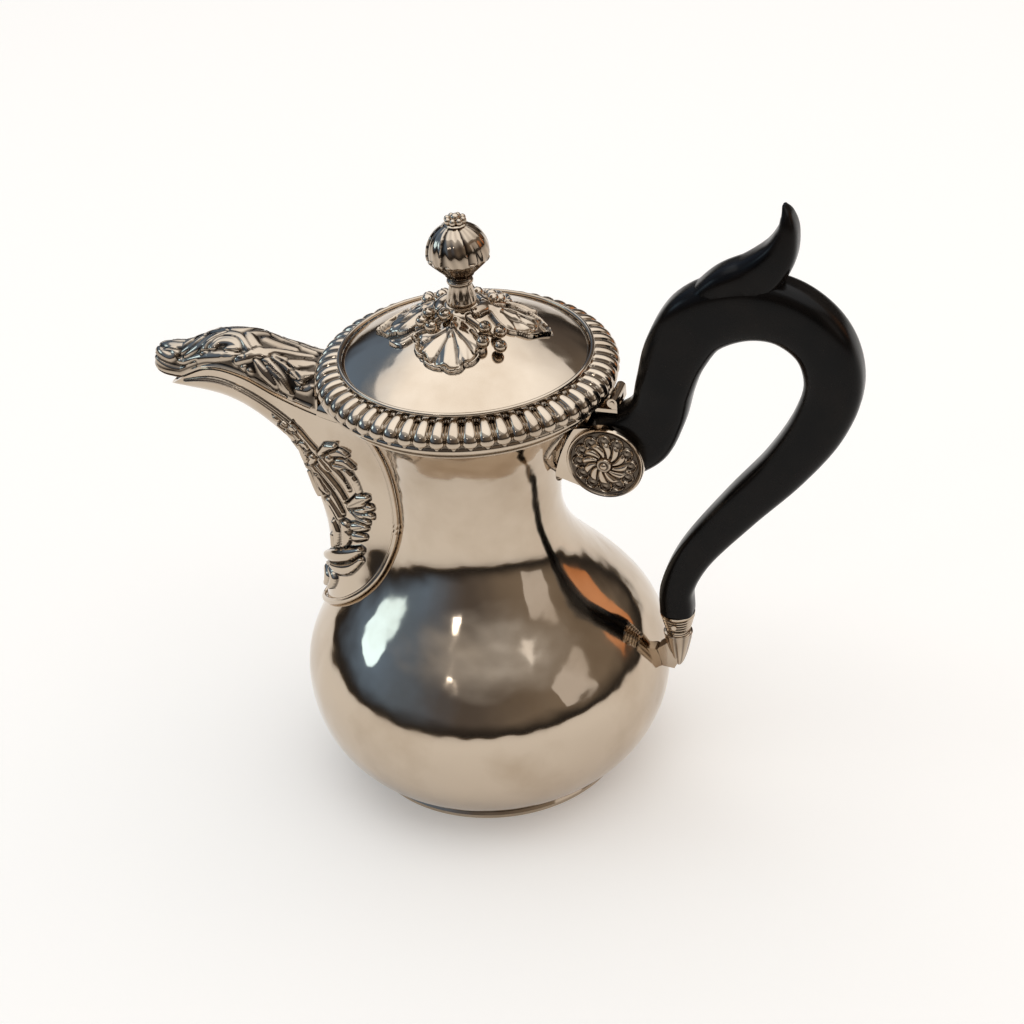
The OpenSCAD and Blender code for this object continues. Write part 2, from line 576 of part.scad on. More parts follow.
// a point over the dome at [x, y], lifted off its skin along the normal
function off_dome(p, lift) =
    let (r = norm(p), fall = dome_height(r - 0.5) - dome_height(r + 0.5), n = norm([1, fall]))
    [p[0] * (1 + lift * fall / n / r), p[1] * (1 + lift * fall / n / r), dome_height(r) + lift / n];
berry_r = 2;
module lid_dome() {
    wall_r = dome_r;
    color(silver) rotate_extrude() polygon(concat(
        [[rim_plate_r, lid_z], [rim_plate_r, lid_z + rim_plate_t], [wall_r + 0.3, lid_z + rim_plate_t]],
        [[wall_r + 0.3, dome_edge_z - 0.4]], dome_line,
        [[2, dome_edge_z + dome_rise], [2, dome_edge_z + dome_rise - sheet]],
        [for (i = [14:-1:0]) inward(dome_line, sheet)[i]],
        [[wall_r - sheet, dome_edge_z - 1.2], [wall_r - sheet, lid_z]]));
}
module lid_bezel() {
    drop = 3.6;
    color(silver) rotate_extrude() polygon([
        [bezel_r, lid_z - drop], [bezel_r, lid_z + 0.6], [dome_r - sheet - seat_gap, lid_z + 0.6],
        [dome_r - sheet - seat_gap, lid_z + 1.8], [bezel_r - sheet, lid_z + 1.8],
        [bezel_r - sheet, lid_z - drop]]);
}

gad_in = dome_r + 0.3 + seat_gap;
gad_wide_z = gad_z + gad_h * 0.38;
gad_bite = 1;
// outline of one gadroon, out over its swell and down to the rim, with its groove
gad_outline = concat(
    [for (j = [0:4]) cubic([gad_in, gad_z + gad_h, 0], [gad_in + 4, gad_z + gad_h + 0.3, 0.7],
        [rim_r, gad_z + gad_h * 0.82, 1], [rim_r, gad_wide_z, 1], j / 4)],
    [for (j = [1:2]) cubic([rim_r, gad_wide_z, 1], [rim_r, gad_z + gad_h * 0.18, 1],
        [rim_r - 1, gad_z, 0.8], [rim_r - 2.4, gad_z, 0], j / 2)]);
module gadroon_border() {
    turns = gadroons * 4;
    rings = [for (i = [0:turns - 1])
        let (lobe = abs(cos(45 * i)), cut = gad_bite * (1 - pow(lobe, 0.55)))
        concat([for (p = gad_outline) [p[0] - cut * p[2], p[1] - cut * p[2] * 0.35]],
               [[gad_in, gad_z]])];
    count = len(rings[0]);
    points = [for (i = [0:turns - 1], p = rings[i])
        [p[0] * cos(360 * i / turns), p[0] * sin(360 * i / turns), p[1]]];
    faces = [for (i = [0:turns - 1], j = [0:count - 1])
        let (k = (j + 1) % count, n = (i + 1) % turns)
        each [[i * count + j, n * count + k, i * count + k], [i * count + j, n * count + j, n * count + k]]];
    color(bright) polyhedron(points, faces);
}

module dome_wire() {
    color(bright) rotate_extrude() translate([dome_r + 0.55, dome_edge_z + 0.75]) circle(r = 0.7, $fn = 24);
}

// vine leaves on the dome: turn and reach of the stalk and of the tip, half width, fullness near
// the stalk, lobes, rise, steps
vine_leaves = [
    [-88, 8.6, -83, 25.2, 8, 0.55, 2.5, 1.8, 11], [6, 8.4, 8, 25.5, 5.4, 0.8, 1.5, 2, 8],
    [92, 8.6, 97, 25.2, 8, 0.55, 2.5, 1.8, 11], [186, 8.4, 188, 25.5, 5.4, 0.8, 1.5, 2, 8]];
function around(turn, reach) = reach * [cos(turn), sin(turn)];
function held(p, low, high) = p * min(max(norm(p), low), high) / norm(p);
function on_dome(from, to, half, full, lobes) =
    let (along = to - from, across = [-along[1], along[0]] / norm(along))
    function (t, s, lift)
        off_dome(held(from + along * t + across * s * leaf_half(t, half, full, lobes),
                      dome_top_r + 1, dome_r - 1.5), lift);
module lid_leaves() {
    color(silver) for (v = vine_leaves)
        leaf(on_dome(around(v[0], v[1]), around(v[2], v[3]), v[4], v[5], v[6]), v[7], v[8], true);
}

// bunches of berries on both sides of the narrow leaves, each berry by its turn from the leaf
// and its reach
narrow_leaves = [6, 186];
berry_places = [[34, 12.9], [46.5, 16], [40, 19.4], [27.5, 18.2], [48, 22.8]];
module lid_berries() {
    color(bright) for (turn = narrow_leaves, side = [-1, 1], b = berry_places)
        translate(off_dome(around(turn + side * b[0], b[1]), berry_r + seat_gap))
            sphere(r = berry_r, $fn = 24);
}

// ---- finial ----
finial_z = dome_edge_z + dome_rise + seat_gap;
module finial_stem() {
    color(bright) rotate_extrude() polygon(concat([[0, finial_z], [4.6, finial_z]],
        [for (i = [0:8]) cubic([4.6, finial_z + 0.8], [3.2, finial_z + 3], [3.2, finial_z + 5],
                               [4.4, finial_z + stem_h], i / 8)],
        [[0, finial_z + stem_h]]));
}
bud_z = finial_z + stem_h + seat_gap;
// a turned shape with flutes cut round it
module fluted(line, flutes, bite) {
    turns = flutes * 4;
    loft([for (p = line) [for (i = [0:turns - 1])
        let (a = 360 * i / turns, r = p[0] * (1 - bite * (1 - abs(cos(180 * i / 4)))))
        [r * cos(a), r * sin(a), p[1]]]]);
}
sepal_h = 6.4;
module finial_sepals() {
    color(silver) fluted([for (i = [0:6]) cubic([4.2, bud_z], [6, bud_z + 1], [bud_r + 0.6, bud_z + 3.5],
        [bud_r + 1.4, bud_z + sepal_h], i / 6)], 8, 0.16);
}
bud_low = bud_z + sepal_h + seat_gap;
bud_h = 2 * bud_r - sepal_h - 3.2;
module finial_bud() {
    color(bright) fluted([for (i = [0:7]) let (a = 84 * i / 7)
        [bud_r * cos(a), bud_low + bud_h * sin(a)]], 12, 0.12);
}
module finial_crown() {
    seed_r = 1.3;
    seat_z = bud_low + bud_h + seed_r + seat_gap;
    color(bright) union() {
        for (i = [0:5]) rotate(60 * i) translate([2.2, 0, seat_z]) sphere(r = seed_r, $fn = 20);
        translate([0, 0, seat_z + 0.5]) sphere(r = seed_r + 0.1, $fn = 20);
    }
}
module finial_nut() {
    under = dome_edge_z + dome_rise - sheet - seat_gap;
    color(bright) union() {
        translate([0, 0, under - 1]) cylinder(r = 4, h = 1);
        translate([0, 0, under - 3.4]) cylinder(r = 3, h = 2.6, $fn = 6);
        translate([0, 0, under - 4.4]) cylinder(r = 1.4, h = finial_z - under + 4.3, $fn = 24);
    }
}

body_shell();
foot_base();
mouth_flange();
spout_shell();
spout_cover();
spout_border_wires();
spout_seat_wire();
spout_foliage();
bracket_plate();
handle_bracket();
rosette_near();
rosette_far();
scroll_rivet();
handle_grip();
lower_socket();
socket_drop();
socket_pin();
hinge_leaf();
hinge_pin();
lid_lug();
lid_dome();
lid_bezel();
gadroon_border();
dome_wire();
lid_leaves();
lid_berries();
finial_stem();
finial_sepals();
finial_bud();
finial_crown();
finial_nut();
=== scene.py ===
# silver coffee pot with a black wooden handle
import json
import math

import bmesh
import bpy
import numpy as np
from mathutils import Matrix, Vector


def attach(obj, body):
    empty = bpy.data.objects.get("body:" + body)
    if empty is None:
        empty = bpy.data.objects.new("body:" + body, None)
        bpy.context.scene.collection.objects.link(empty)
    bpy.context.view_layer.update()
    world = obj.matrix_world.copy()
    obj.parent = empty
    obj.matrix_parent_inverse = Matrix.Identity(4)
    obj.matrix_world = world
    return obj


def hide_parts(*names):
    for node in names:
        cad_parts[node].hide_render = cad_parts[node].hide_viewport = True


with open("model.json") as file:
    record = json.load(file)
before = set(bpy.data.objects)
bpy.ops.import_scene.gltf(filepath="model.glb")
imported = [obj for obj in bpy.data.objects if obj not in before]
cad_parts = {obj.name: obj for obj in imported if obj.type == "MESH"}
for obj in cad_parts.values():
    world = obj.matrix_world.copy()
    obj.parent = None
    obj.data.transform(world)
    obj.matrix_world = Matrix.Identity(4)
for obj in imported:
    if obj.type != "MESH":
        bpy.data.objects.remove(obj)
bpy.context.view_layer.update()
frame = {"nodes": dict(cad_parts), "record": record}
mm = 0.001
fullTurn = 2 * math.pi
print("frame loaded,", len(frame["nodes"]), "pieces")

# camera
cameraSetup = {
    "distance": 0.70,
    "azimuth": 18.69,
    "elevation": 33.08,
    "roll": -4.09,
    "lookAt": (0.01083, 0.0, 0.08958),
    "sensor": 36,
    "lens": 80.03,
}


def makeCamera(setup):
    azimuth, elevation, roll = (math.radians(setup[key]) for key in ("azimuth", "elevation", "roll"))
    back = Vector((math.sin(azimuth) * math.cos(elevation), -math.cos(azimuth) * math.cos(elevation),
                   math.sin(elevation)))
    right = (-back).cross(Vector((0, 0, 1))).normalized()
    up = right.cross(-back)
    turnedRight = right * math.cos(roll) + up * math.sin(roll)
    turnedUp = up * math.cos(roll) - right * math.sin(roll)
    data = bpy.data.cameras.new("camera")
    data.sensor_width = setup["sensor"]
    data.lens = setup["lens"]
    camera = bpy.data.objects.new("camera", data)
    bpy.context.scene.collection.objects.link(camera)
    pose = Matrix((turnedRight, turnedUp, back)).transposed().to_4x4()
    pose.translation = Vector(setup["lookAt"]) + back * setup["distance"]
    camera.matrix_world = pose
    bpy.context.scene.camera = camera


# curves and grids, all in millimetres until makeMesh
def zeroToOne(x):
    return np.clip(x, 0, 1)


def bell(x, at, width):  # 1 at one place, falling away softly on both sides
    return np.exp(-((x - at) / width)**2)


def angleSteps(count):  # evenly spaced, once round
    return np.arange(count) / count * fullTurn


def polar(r, angle, z):
    return np.stack([r * np.cos(angle), r * np.sin(angle), z + 0 * r], 2)


def cubic(a, b, c, d, t):
    a, b, c, d = (np.asarray(v, float) for v in (a, b, c, d))
    return (1 - t)**3 * a + 3 * (1 - t)**2 * t * b + 3 * (1 - t) * t * t * c + t**3 * d


def cubicLine(a, b, c, d, steps, first=0):
    return [cubic(a, b, c, d, i / steps) for i in range(first, steps + 1)]


def through(stations, u):  # smooth curve through a list of stations, u from 0 to 1
    stations = np.asarray(stations, float)
    last = len(stations) - 1
    s = min(max(u, 0.0), 0.99999) * last
    i = int(s)
    t = s - i
    p, q = stations[i], stations[i + 1]
    m = q - p if i == 0 else (q - stations[i - 1]) / 2
    n = q - p if i + 2 > last else (stations[i + 2] - p) / 2
    return ((2 * t**3 - 3 * t * t + 1) * p + (t**3 - 2 * t * t + t) * m
            + (3 * t * t - 2 * t**3) * q + (t**3 - t * t) * n)


def smoothLine(points, steps=5):
    count = (len(points) - 1) * steps
    return np.array([through(points, i / count) for i in range(count + 1)])


def runLength(line):  # how far each point of a line is from its start, along it
    return np.concatenate([[0], np.cumsum(np.linalg.norm(np.diff(line, axis=0), axis=1))])


def inward(line, depth):  # a profile moved sideways by a depth
    run = np.gradient(np.asarray(line, float), axis=0)
    run /= np.linalg.norm(run, axis=1, keepdims=True)
    return line + depth * np.stack([-run[:, 1], run[:, 0]], 1)


def turned(outline, count, bulge=None):  # a profile of (radius, height) points turned round the axis
    outline = np.asarray(outline, float)
    angles = angleSteps(count)
    radii = np.repeat(outline[:, :1], count, 1)
    if bulge is not None:
        radii = radii + bulge(outline[:, :1], outline[:, 1:], angles[None, :])
    return polar(radii, angles, np.repeat(outline[:, 1:], count, 1))


def tube(path, radii, sides=10):  # a round wire whose thickness may change along it
    path = np.asarray(path, float)
    radii = np.broadcast_to(radii, len(path))
    turns = angleSteps(sides)
    run = np.gradient(path, axis=0)
    run /= np.linalg.norm(run, axis=1, keepdims=True)
    a = np.cross(run, (0.13, 0.07, 0.99))  # a direction that no wire of the pot follows
    a /= np.linalg.norm(a, axis=1, keepdims=True)
    b = np.cross(run, a)
    rings = path[:, None] + radii[:, None, None] * (
        a[:, None] * np.cos(turns)[None, :, None] + b[:, None] * np.sin(turns)[None, :, None])
    return rings.reshape(-1, 3), cappedFaces(len(path), sides)


def gridFaces(rows, columns, closed=False, loop=False, start=0):
    i, j = np.meshgrid(np.arange(rows if loop else rows - 1),
                       np.arange(columns if closed else columns - 1), indexing="ij")
    k = (j + 1) % columns
    n = (i + 1) % rows
    corners = [i * columns + j, i * columns + k, n * columns + k, n * columns + j]
    return (np.stack(corners, -1).reshape(-1, 4) + start).tolist()


def cappedFaces(rings, count):  # closed rings joined into one skin, with flat ends
    last = (rings - 1) * count
    return gridFaces(rings, count, True) + [list(range(count))[::-1], list(range(last, last + count))]


def slabFaces(rows, columns, closed=False):  # an upper and a lower grid joined along their edges
    under = rows * columns
    faces = gridFaces(rows, columns, closed) + gridFaces(rows, columns, closed, start=under)
    near = list(range(columns))
    far = [(rows - 1) * columns + j for j in near]
    if closed:
        rims = [near + near[:1], far + far[:1]]
    else:
        right = [i * columns + columns - 1 for i in range(rows)]
        left = [i * columns for i in range(rows)]
        rims = [near, far, left, right]
    for rim in rims:
        faces += [[a, b, b + under, a + under] for a, b in zip(rim[:-1], rim[1:])]
    return faces


def gridNormals(grid):
    normal = np.cross(np.gradient(grid, axis=1), np.gradient(grid, axis=0))
    normal /= np.maximum(np.linalg.norm(normal, axis=2, keepdims=True), 1e-9)
    outward = np.sum(normal * (grid - grid.mean((0, 1))))
    return normal if outward > 0 else -normal


def joined(parts):  # several (points, faces) pairs as one
    points, faces, start = [], [], 0
    for some, skin in parts:
        some = np.asarray(some, float).reshape(-1, 3)
        points.append(some)
        faces += [[i + start for i in face] for face in skin]
        start += len(some)
    return np.vstack(points), faces


# pieces
def makeMesh(name, points, faces, material, marks=None, crease=38):
    mesh = bpy.data.meshes.new(name)
    mesh.from_pydata((np.asarray(points, float).reshape(-1, 3) * mm).tolist(), [], faces)
    shape = bmesh.new()
    shape.from_mesh(mesh)
    bmesh.ops.recalc_face_normals(shape, faces=shape.faces)
    shape.to_mesh(mesh)
    shape.free()
    smoothFaces(mesh, crease)
    # the recess marks darken the cast silver as tarnish and painted shade
    if marks is not None:  # 1 in the depth of the ornament, 0 on its crests
        layer = mesh.attributes.new("recess", "FLOAT", "POINT")
        layer.data.foreach_set("value", np.asarray(marks, np.float32).ravel())
    piece = bpy.data.objects.new(name, mesh)
    bpy.context.scene.collection.objects.link(piece)
    mesh.materials.append(material)
    return piece


def smoothFaces(mesh, crease):
    mesh.polygons.foreach_set("use_smooth", [True] * len(mesh.polygons))
    mesh.set_sharp_from_angle(angle=math.radians(crease))


def place(piece, body, node=None):
    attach(piece, body)
    if node:
        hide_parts(node)


def castPiece(name, body, node, points, faces, marks=None, crease=60):
    place(makeMesh(name, points, faces, castSilver, marks, crease), body, node)


# two grids joined along their edges, with the ornament's marks (tarnish and painted shade) on the top one
# only
def castSlab(name, body, node, top, under, marks, closed=False, crease=70):
    rows, columns = top.shape[:2]
    castPiece(name, body, node, np.concatenate([top, under]), slabFaces(rows, columns, closed),
              np.concatenate([marks, np.zeros_like(marks)]), crease)


def combine(piece, tool, operation):  # cuts a tool away from a piece or joins it on
    change = piece.modifiers.new(operation.lower(), "BOOLEAN")
    change.operation = operation
    change.solver = "MANIFOLD"
    change.object = tool
    graph = bpy.context.evaluated_depsgraph_get()
    result = bpy.data.meshes.new_from_object(piece.evaluated_get(graph))
    piece.modifiers.clear()
    piece.data = result
    bpy.data.objects.remove(tool)


# strokes are (line, widths, rise): a high rise is a rounded ridge with a seam of painted shade round it, a
# rise under 0.5 is a soft fold laid over what is there, and a negative one is a groove darkened with painted
# shade; "plain" leaves the seam out
def smoothed(strokes):
    return [(smoothLine(line) if len(line) > 2 else line, *rest) for line, *rest in strokes]


def bothSides(strokes):  # each stroke off the middle line gets its mirror image
    both = []
    for line, *rest in strokes:
        both.append((line, *rest))
        if line[0][0] != 0:
            both.append(([(-x, z) for x, z in line], *rest))
    return both


# wide stretches all the widths, a smaller full makes plumper ridges, seam is the breadth of the line of
# painted shade
def relief(spots, strokes, wide=1.0, full=0.5, seam=0.28):
    height = np.zeros(spots.shape[:-1])
    depth = np.zeros_like(height)
    for line, widths, rise, *plain in strokes:
        line = np.asarray(line, float)
        widths = wide * np.interp(np.linspace(0, 1, len(line)), np.linspace(0, 1, len(widths)), widths)
        near = np.full(height.shape, 9.0)
        gap = np.full(height.shape, 9.0)
        for a, b, wa, wb in zip(line[:-1], line[1:], widths[:-1], widths[1:]):
            run = b - a
            t = zeroToOne((spots - a) @ run / max(run @ run, 1e-9))
            away = np.linalg.norm(spots - a - t[..., None] * run, axis=-1)
            width = wa + t * (wb - wa)
            near = np.minimum(near, away / width)
            gap = np.minimum(gap, away - width)
        if rise >= 0.5:
            crest = rise * zeroToOne(1 - near**2.4)**full
            # the seam is carved in and darkened: painted shade with tarnish round each ridge
            edge = bell(gap, 0.1, seam) * (not plain)
            height = np.where(crest > height, crest, height - 0.5 * rise * edge * (height > 0))
            depth = np.where(near < 0.9, 0.0, np.maximum(depth, edge))
        elif rise > 0:
            height = height + rise * zeroToOne(1 - near**2)**2 * (height > 0)
        else:
            cut = zeroToOne(1 - near)
            height = height + rise * cut * (height > 0)
            depth = np.maximum(depth, cut * 0.9)
    return np.maximum(height, 0), zeroToOne(depth)


def seated(height, depth, sunk):  # bare ground sinks under the skin, but a seam of painted shade and tarnish stays round the work
    return np.maximum(height, 0.1 * zeroToOne(depth * 2)) - sunk * zeroToOne(1 - 2 * depth) * (height < 0.02)


# studio
studio = {
    "floorColour": (0.84, 0.80, 0.75),
    "floorGlowColour": (1.0, 0.985, 0.96),
    "floorGlow": 0.25,
    "floorRoughness": 0.9,
    "floorSize": 16.0,
    "horizon": (0.16, 0.13, 0.10),
    "wallLow": (0.035, 0.030, 0.026),
    "wallCool": (0.19, 0.28, 0.42),
    "wallPlain": (0.125, 0.108, 0.098),
    "wallWarm": (0.28, 0.23, 0.18),
    "ceiling": (0.84, 0.84, 0.84),
    "sideways": (-0.9, 0.9),  # the cool wall turns into the warm one between these
    "horizonEnd": (0.03, 0.14),  # the rest are heights, 0 at the horizon and 1 straight up
    "wallFrom": (0.05, 0.34),
    "ceilingFrom": (0.52, 0.94),
}
lamps = {  # place, size, colour, watts
    "window": ((-1.15, -0.25, 0.62), (0.42, 0.30), (0.62, 0.86, 1.0), 0.9),
    "paleWall": ((1.15, -0.28, 0.60), (0.55, 0.50), (0.97, 0.98, 1.0), 0.42),
    "warmWall": ((0.95, 0.62, 0.42), (0.42, 0.34), (1.0, 0.33, 0.07), 0.28),
    "front": ((-0.25, -1.15, 1.05), (0.13, 0.09), (1.0, 0.98, 0.95), 0.25),
    "top": ((0.05, 0.30, 1.40), (2.9, 2.2), (0.93, 0.965, 1.0), 18.0),
}
lampAim = (0, 0, 0.09)


def newMaterial(name):
    material = bpy.data.materials.new(name)
    material.use_nodes = True
    return material, material.node_tree, material.node_tree.nodes["Principled BSDF"]


def addNode(tree, kind, inputs=None, **values):
    node = tree.nodes.new(kind)
    for key, value in values.items():
        setattr(node, key, value)
    for socket, value in (inputs or {}).items():
        if isinstance(value, bpy.types.NodeSocket):
            tree.links.new(value, node.inputs[socket])
        else:
            node.inputs[socket].default_value = value
    return node


def makeRamp(tree, stops, factor, smooth=False):
    ramp = addNode(tree, "ShaderNodeValToRGB", {"Fac": factor})
    ramp.color_ramp.interpolation = "EASE" if smooth else "LINEAR"
    elements = ramp.color_ramp.elements
    while len(elements) < len(stops):
        elements.new(0.5)
    for element, (position, colour) in zip(elements, stops):
        element.position = position
        element.color = (*colour, 1)
    return ramp.outputs["Color"]


def makeMix(tree, factor, *colours):
    sides = [(*colour, 1) if isinstance(colour, tuple) else colour for colour in colours]
    mix = addNode(tree, "ShaderNodeMix", {"Factor": factor, "A": sides[0], "B": sides[1]}, data_type="RGBA")
    return mix.outputs["Result"]


def addRange(tree, value, fromEnds, toEnds=(0, 1)):
    ends = dict(zip(("From Min", "From Max", "To Min", "To Max"), (*fromEnds, *toEnds)))
    return addNode(tree, "ShaderNodeMapRange", {"Value": value, **ends}).outputs[0]


def addNoise(tree, where, scale, detail):
    noise = addNode(tree, "ShaderNodeTexNoise", {"Vector": where, "Scale": scale, "Detail": detail})
    return noise.outputs["Fac"]


def addBump(tree, height, strength, distance, under=None):
    bump = addNode(tree, "ShaderNodeBump", {"Height": height, "Strength": strength, "Distance": distance})
    if under:
        tree.links.new(under, bump.inputs["Normal"])
    return bump.outputs[0]


def makeWorld(values):  # a plain room: dim near the floor's edge, greyer walls, a pale ceiling
    world = bpy.data.worlds.new("room")
    bpy.context.scene.world = world
    world.use_nodes = True
    tree = world.node_tree
    tree.nodes.clear()
    direction = addNode(tree, "ShaderNodeTexCoord").outputs["Generated"]
    axes = addNode(tree, "ShaderNodeSeparateXYZ", {0: direction})
    sideways, up = addRange(tree, axes.outputs["X"], values["sideways"]), axes.outputs["Z"]
    dark, light = (0, 0, 0), (1, 1, 1)
    walls = makeRamp(tree, [(0.0, values["wallCool"]), (0.5, values["wallPlain"]), (1.0, values["wallWarm"])],
                     sideways, True)
    near, far = values["horizonEnd"]
    low = makeRamp(tree, [(0.0, values["horizon"]), (near, values["wallLow"]), (far, values["wallLow"])],
                   up, True)
    rise = makeRamp(tree, list(zip(values["wallFrom"], (dark, light))), up, True)
    top = makeRamp(tree, list(zip(values["ceilingFrom"], (dark, light))), up, True)
    colour = makeMix(tree, top, makeMix(tree, rise, low, walls), values["ceiling"])
    shade = addNode(tree, "ShaderNodeBackground", {"Color": colour})
    addNode(tree, "ShaderNodeOutputWorld", {"Surface": shade.outputs[0]})


def makeLamp(name, spot, size, colour, watts):
    data = bpy.data.lights.new(name, "AREA")
    data.shape = "RECTANGLE"
    data.size, data.size_y = size
    data.color = colour
    data.energy = watts
    lamp = bpy.data.objects.new(name, data)
    bpy.context.scene.collection.objects.link(lamp)
    lamp.location = spot
    aim = Vector(lampAim) - lamp.location
    lamp.rotation_euler = aim.to_track_quat("-Z", "Y").to_euler()


def makeFloor(values):
    half = values["floorSize"] / 2 / mm
    material, tree, shader = newMaterial("floorPaint")
    shader.inputs["Base Color"].default_value = (*values["floorColour"], 1)
    shader.inputs["Roughness"].default_value = values["floorRoughness"]
    shader.inputs["Emission Color"].default_value = (*values["floorGlowColour"], 1)
    rays = addNode(tree, "ShaderNodeLightPath").outputs
    glow = rays["Is Camera Ray"]
    for kind in ("Is Glossy Ray", "Is Transmission Ray"):
        glow = addNode(tree, "ShaderNodeMath", {0: glow, 1: rays[kind]}, operation="MAXIMUM").outputs[0]
    strength = addNode(tree, "ShaderNodeMath", {0: glow, 1: values["floorGlow"]}, operation="MULTIPLY")
    tree.links.new(strength.outputs[0], shader.inputs["Emission Strength"])
    corners = [(-half, -half, 0), (half, -half, 0), (half, half, 0), (-half, half, 0)]
    makeMesh("floor", corners, [[0, 1, 2, 3]], material)


# finishes
silverLook = {
    "colour": (0.56, 0.465, 0.365),
    "dull": (0.47, 0.375, 0.28),
    "roughness": 0.085,
    "patches": 42,  # noise scale of the duller patches
    "swells": 44,  # scale, height and strength of the unevenness left by the hammer
    "swellHigh": 0.0012,
    "wobble": 0.85,
    "hairs": 1400,  # scale, height and strength of the fine scratches
    "hairHigh": 0.00002,
    "scratches": 0.14,
}
castLook = dict(silverLook, colour=(0.53, 0.44, 0.345), dull=(0.41, 0.325, 0.245),
                tarnishAndShade=(0.036, 0.026, 0.019), wobble=0.06)


def makeSilver(name, values):
    material, tree, shader = newMaterial(name)
    shader.inputs["Metallic"].default_value = 1.0
    where = addNode(tree, "ShaderNodeTexCoord").outputs["Object"]
    patches = addNoise(tree, where, values["patches"], 7)
    tint = makeRamp(tree, [(0.32, values["dull"]), (0.56, values["colour"])], patches)
    if "tarnishAndShade" in values:  # cast work is darker in its recesses: tarnish and painted shade, from the recess marks
        depth = addNode(tree, "ShaderNodeAttribute", attribute_name="recess")
        tint = makeMix(tree, depth.outputs["Fac"], tint, values["tarnishAndShade"])
    rough = addRange(tree, patches, (0.3, 0.7), (values["roughness"] * 1.6, values["roughness"] * 0.6))
    swells = addNoise(tree, where, values["swells"], 2.2)
    hairs = addNoise(tree, where, values["hairs"], 3)
    raised = addBump(tree, swells, values["wobble"], values["swellHigh"])
    fine = addBump(tree, hairs, values["scratches"], values["hairHigh"], raised)
    for socket, value in (("Base Color", tint), ("Roughness", rough), ("Normal", fine)):
        tree.links.new(value, shader.inputs[socket])
    return material


woodLook = {
    "dark": (0.0030, 0.0026, 0.0024),
    "grain": (0.0085, 0.0062, 0.0050),
    "stretch": (50, 420, 50),  # the grain runs round the loop of the handle, fine across its thickness
    "grainHigh": 0.0001,
    "wear": 60,
    "smooth": 0.18,
    "rough": 0.32,
    "specular": 0.13,
}


def makeWood(name, values):
    material, tree, shader = newMaterial(name)
    shader.inputs["Specular IOR Level"].default_value = values["specular"]
    where = addNode(tree, "ShaderNodeTexCoord").outputs["Object"]
    stretched = addNode(tree, "ShaderNodeMapping", {"Vector": where, "Scale": values["stretch"]}).outputs[0]
    grain = addNoise(tree, stretched, 2.0, 6)
    colour = makeRamp(tree, [(0.35, values["dark"]), (0.75, values["grain"])], grain)
    wear = addNoise(tree, where, values["wear"], 5)
    rough = addRange(tree, wear, (0.35, 0.7), (values["smooth"], values["rough"]))
    bump = addBump(tree, grain, 0.2, values["grainHigh"])
    for socket, value in (("Base Color", colour), ("Roughness", rough), ("Normal", bump)):
        tree.links.new(value, shader.inputs[socket])
    return material


raisedSilver = makeSilver("raisedSilver", silverLook)
castSilver = makeSilver("castSilver", castLook)
ebonisedWood = makeWood("ebonisedWood", woodLook)
slotOf = {"raised_silver": raisedSilver, "cast_silver": castSilver, "ebonised_wood": ebonisedWood}

bpy.context.scene.view_settings.view_transform = "Standard"
makeCamera(cameraSetup)
makeWorld(studio)
for lampName, lampValues in lamps.items():
    makeLamp(lampName, *lampValues)
makeFloor(studio)
print("studio ready")

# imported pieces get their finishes; most are then replaced by finer ones
slotOfNode = {entry["node"]: entry["material_slot"] for entry in frame["record"]["subparts"]}
for nodeName, node in frame["nodes"].items():
    node.data.materials.clear()
    node.data.materials.append(slotOf[slotOfNode[nodeName]])

# body
pot = {
    "bellyR": 58.0, "bellyZ": 35.0, "baseR": 41.0, "waistR": 26.0, "waistZ": 95.0,
    "mouthR": 38.4, "mouthZ": 133.2, "footH": 2.4, "sheet": 1.2, "gap": 0.12, "axisR": 0.02,
    "footPull": (9, 7), "bellyPull": (17, 25), "waistPull": (26, 17), "mouthPull": (4.6, 8),
    "columns": 176, "strainD": 5.4, "strainPitch": 8.2, "strainRows": 5, "strainLow": 19,
}


def bodyLine(shape, low, middle, high):  # its outline from foot to mouth, in so many steps each
    base, belly = (shape["baseR"], shape["footH"]), (shape["bellyR"], shape["bellyZ"])
    waist, mouth = (shape["waistR"], shape["waistZ"]), (shape["mouthR"], shape["mouthZ"])
    out, up = shape["footPull"]
    underBelly, overBelly = shape["bellyPull"]
    underWaist, overWaist = shape["waistPull"]
    flare, drop = shape["mouthPull"]
    return np.array(
        cubicLine(base, (base[0] + out, base[1] + up), (belly[0], belly[1] - underBelly), belly, low)
        + cubicLine(belly, (belly[0], belly[1] + overBelly), (waist[0], waist[1] - underWaist), waist,
                    middle, 1)
        + cubicLine(waist, (waist[0], waist[1] + overWaist), (waist[0] + flare, mouth[1] - drop), mouth,
                    high, 1))


bodySkin = bodyLine(pot, 60, 90, 80)


def bodyRadius(z):
    return np.interp(z, bodySkin[:, 1], bodySkin[:, 0])


def offBody(z, turn, lift):  # a point at a height and turn from the spout's side, lifted off the skin
    slope = bodyRadius(z + 0.5) - bodyRadius(z - 0.5)
    steep = np.hypot(1, slope)
    r = bodyRadius(z) + lift / steep
    a = np.radians(turn)
    return np.stack([-r * np.cos(a), r * np.sin(a), z - lift * slope / steep], -1)


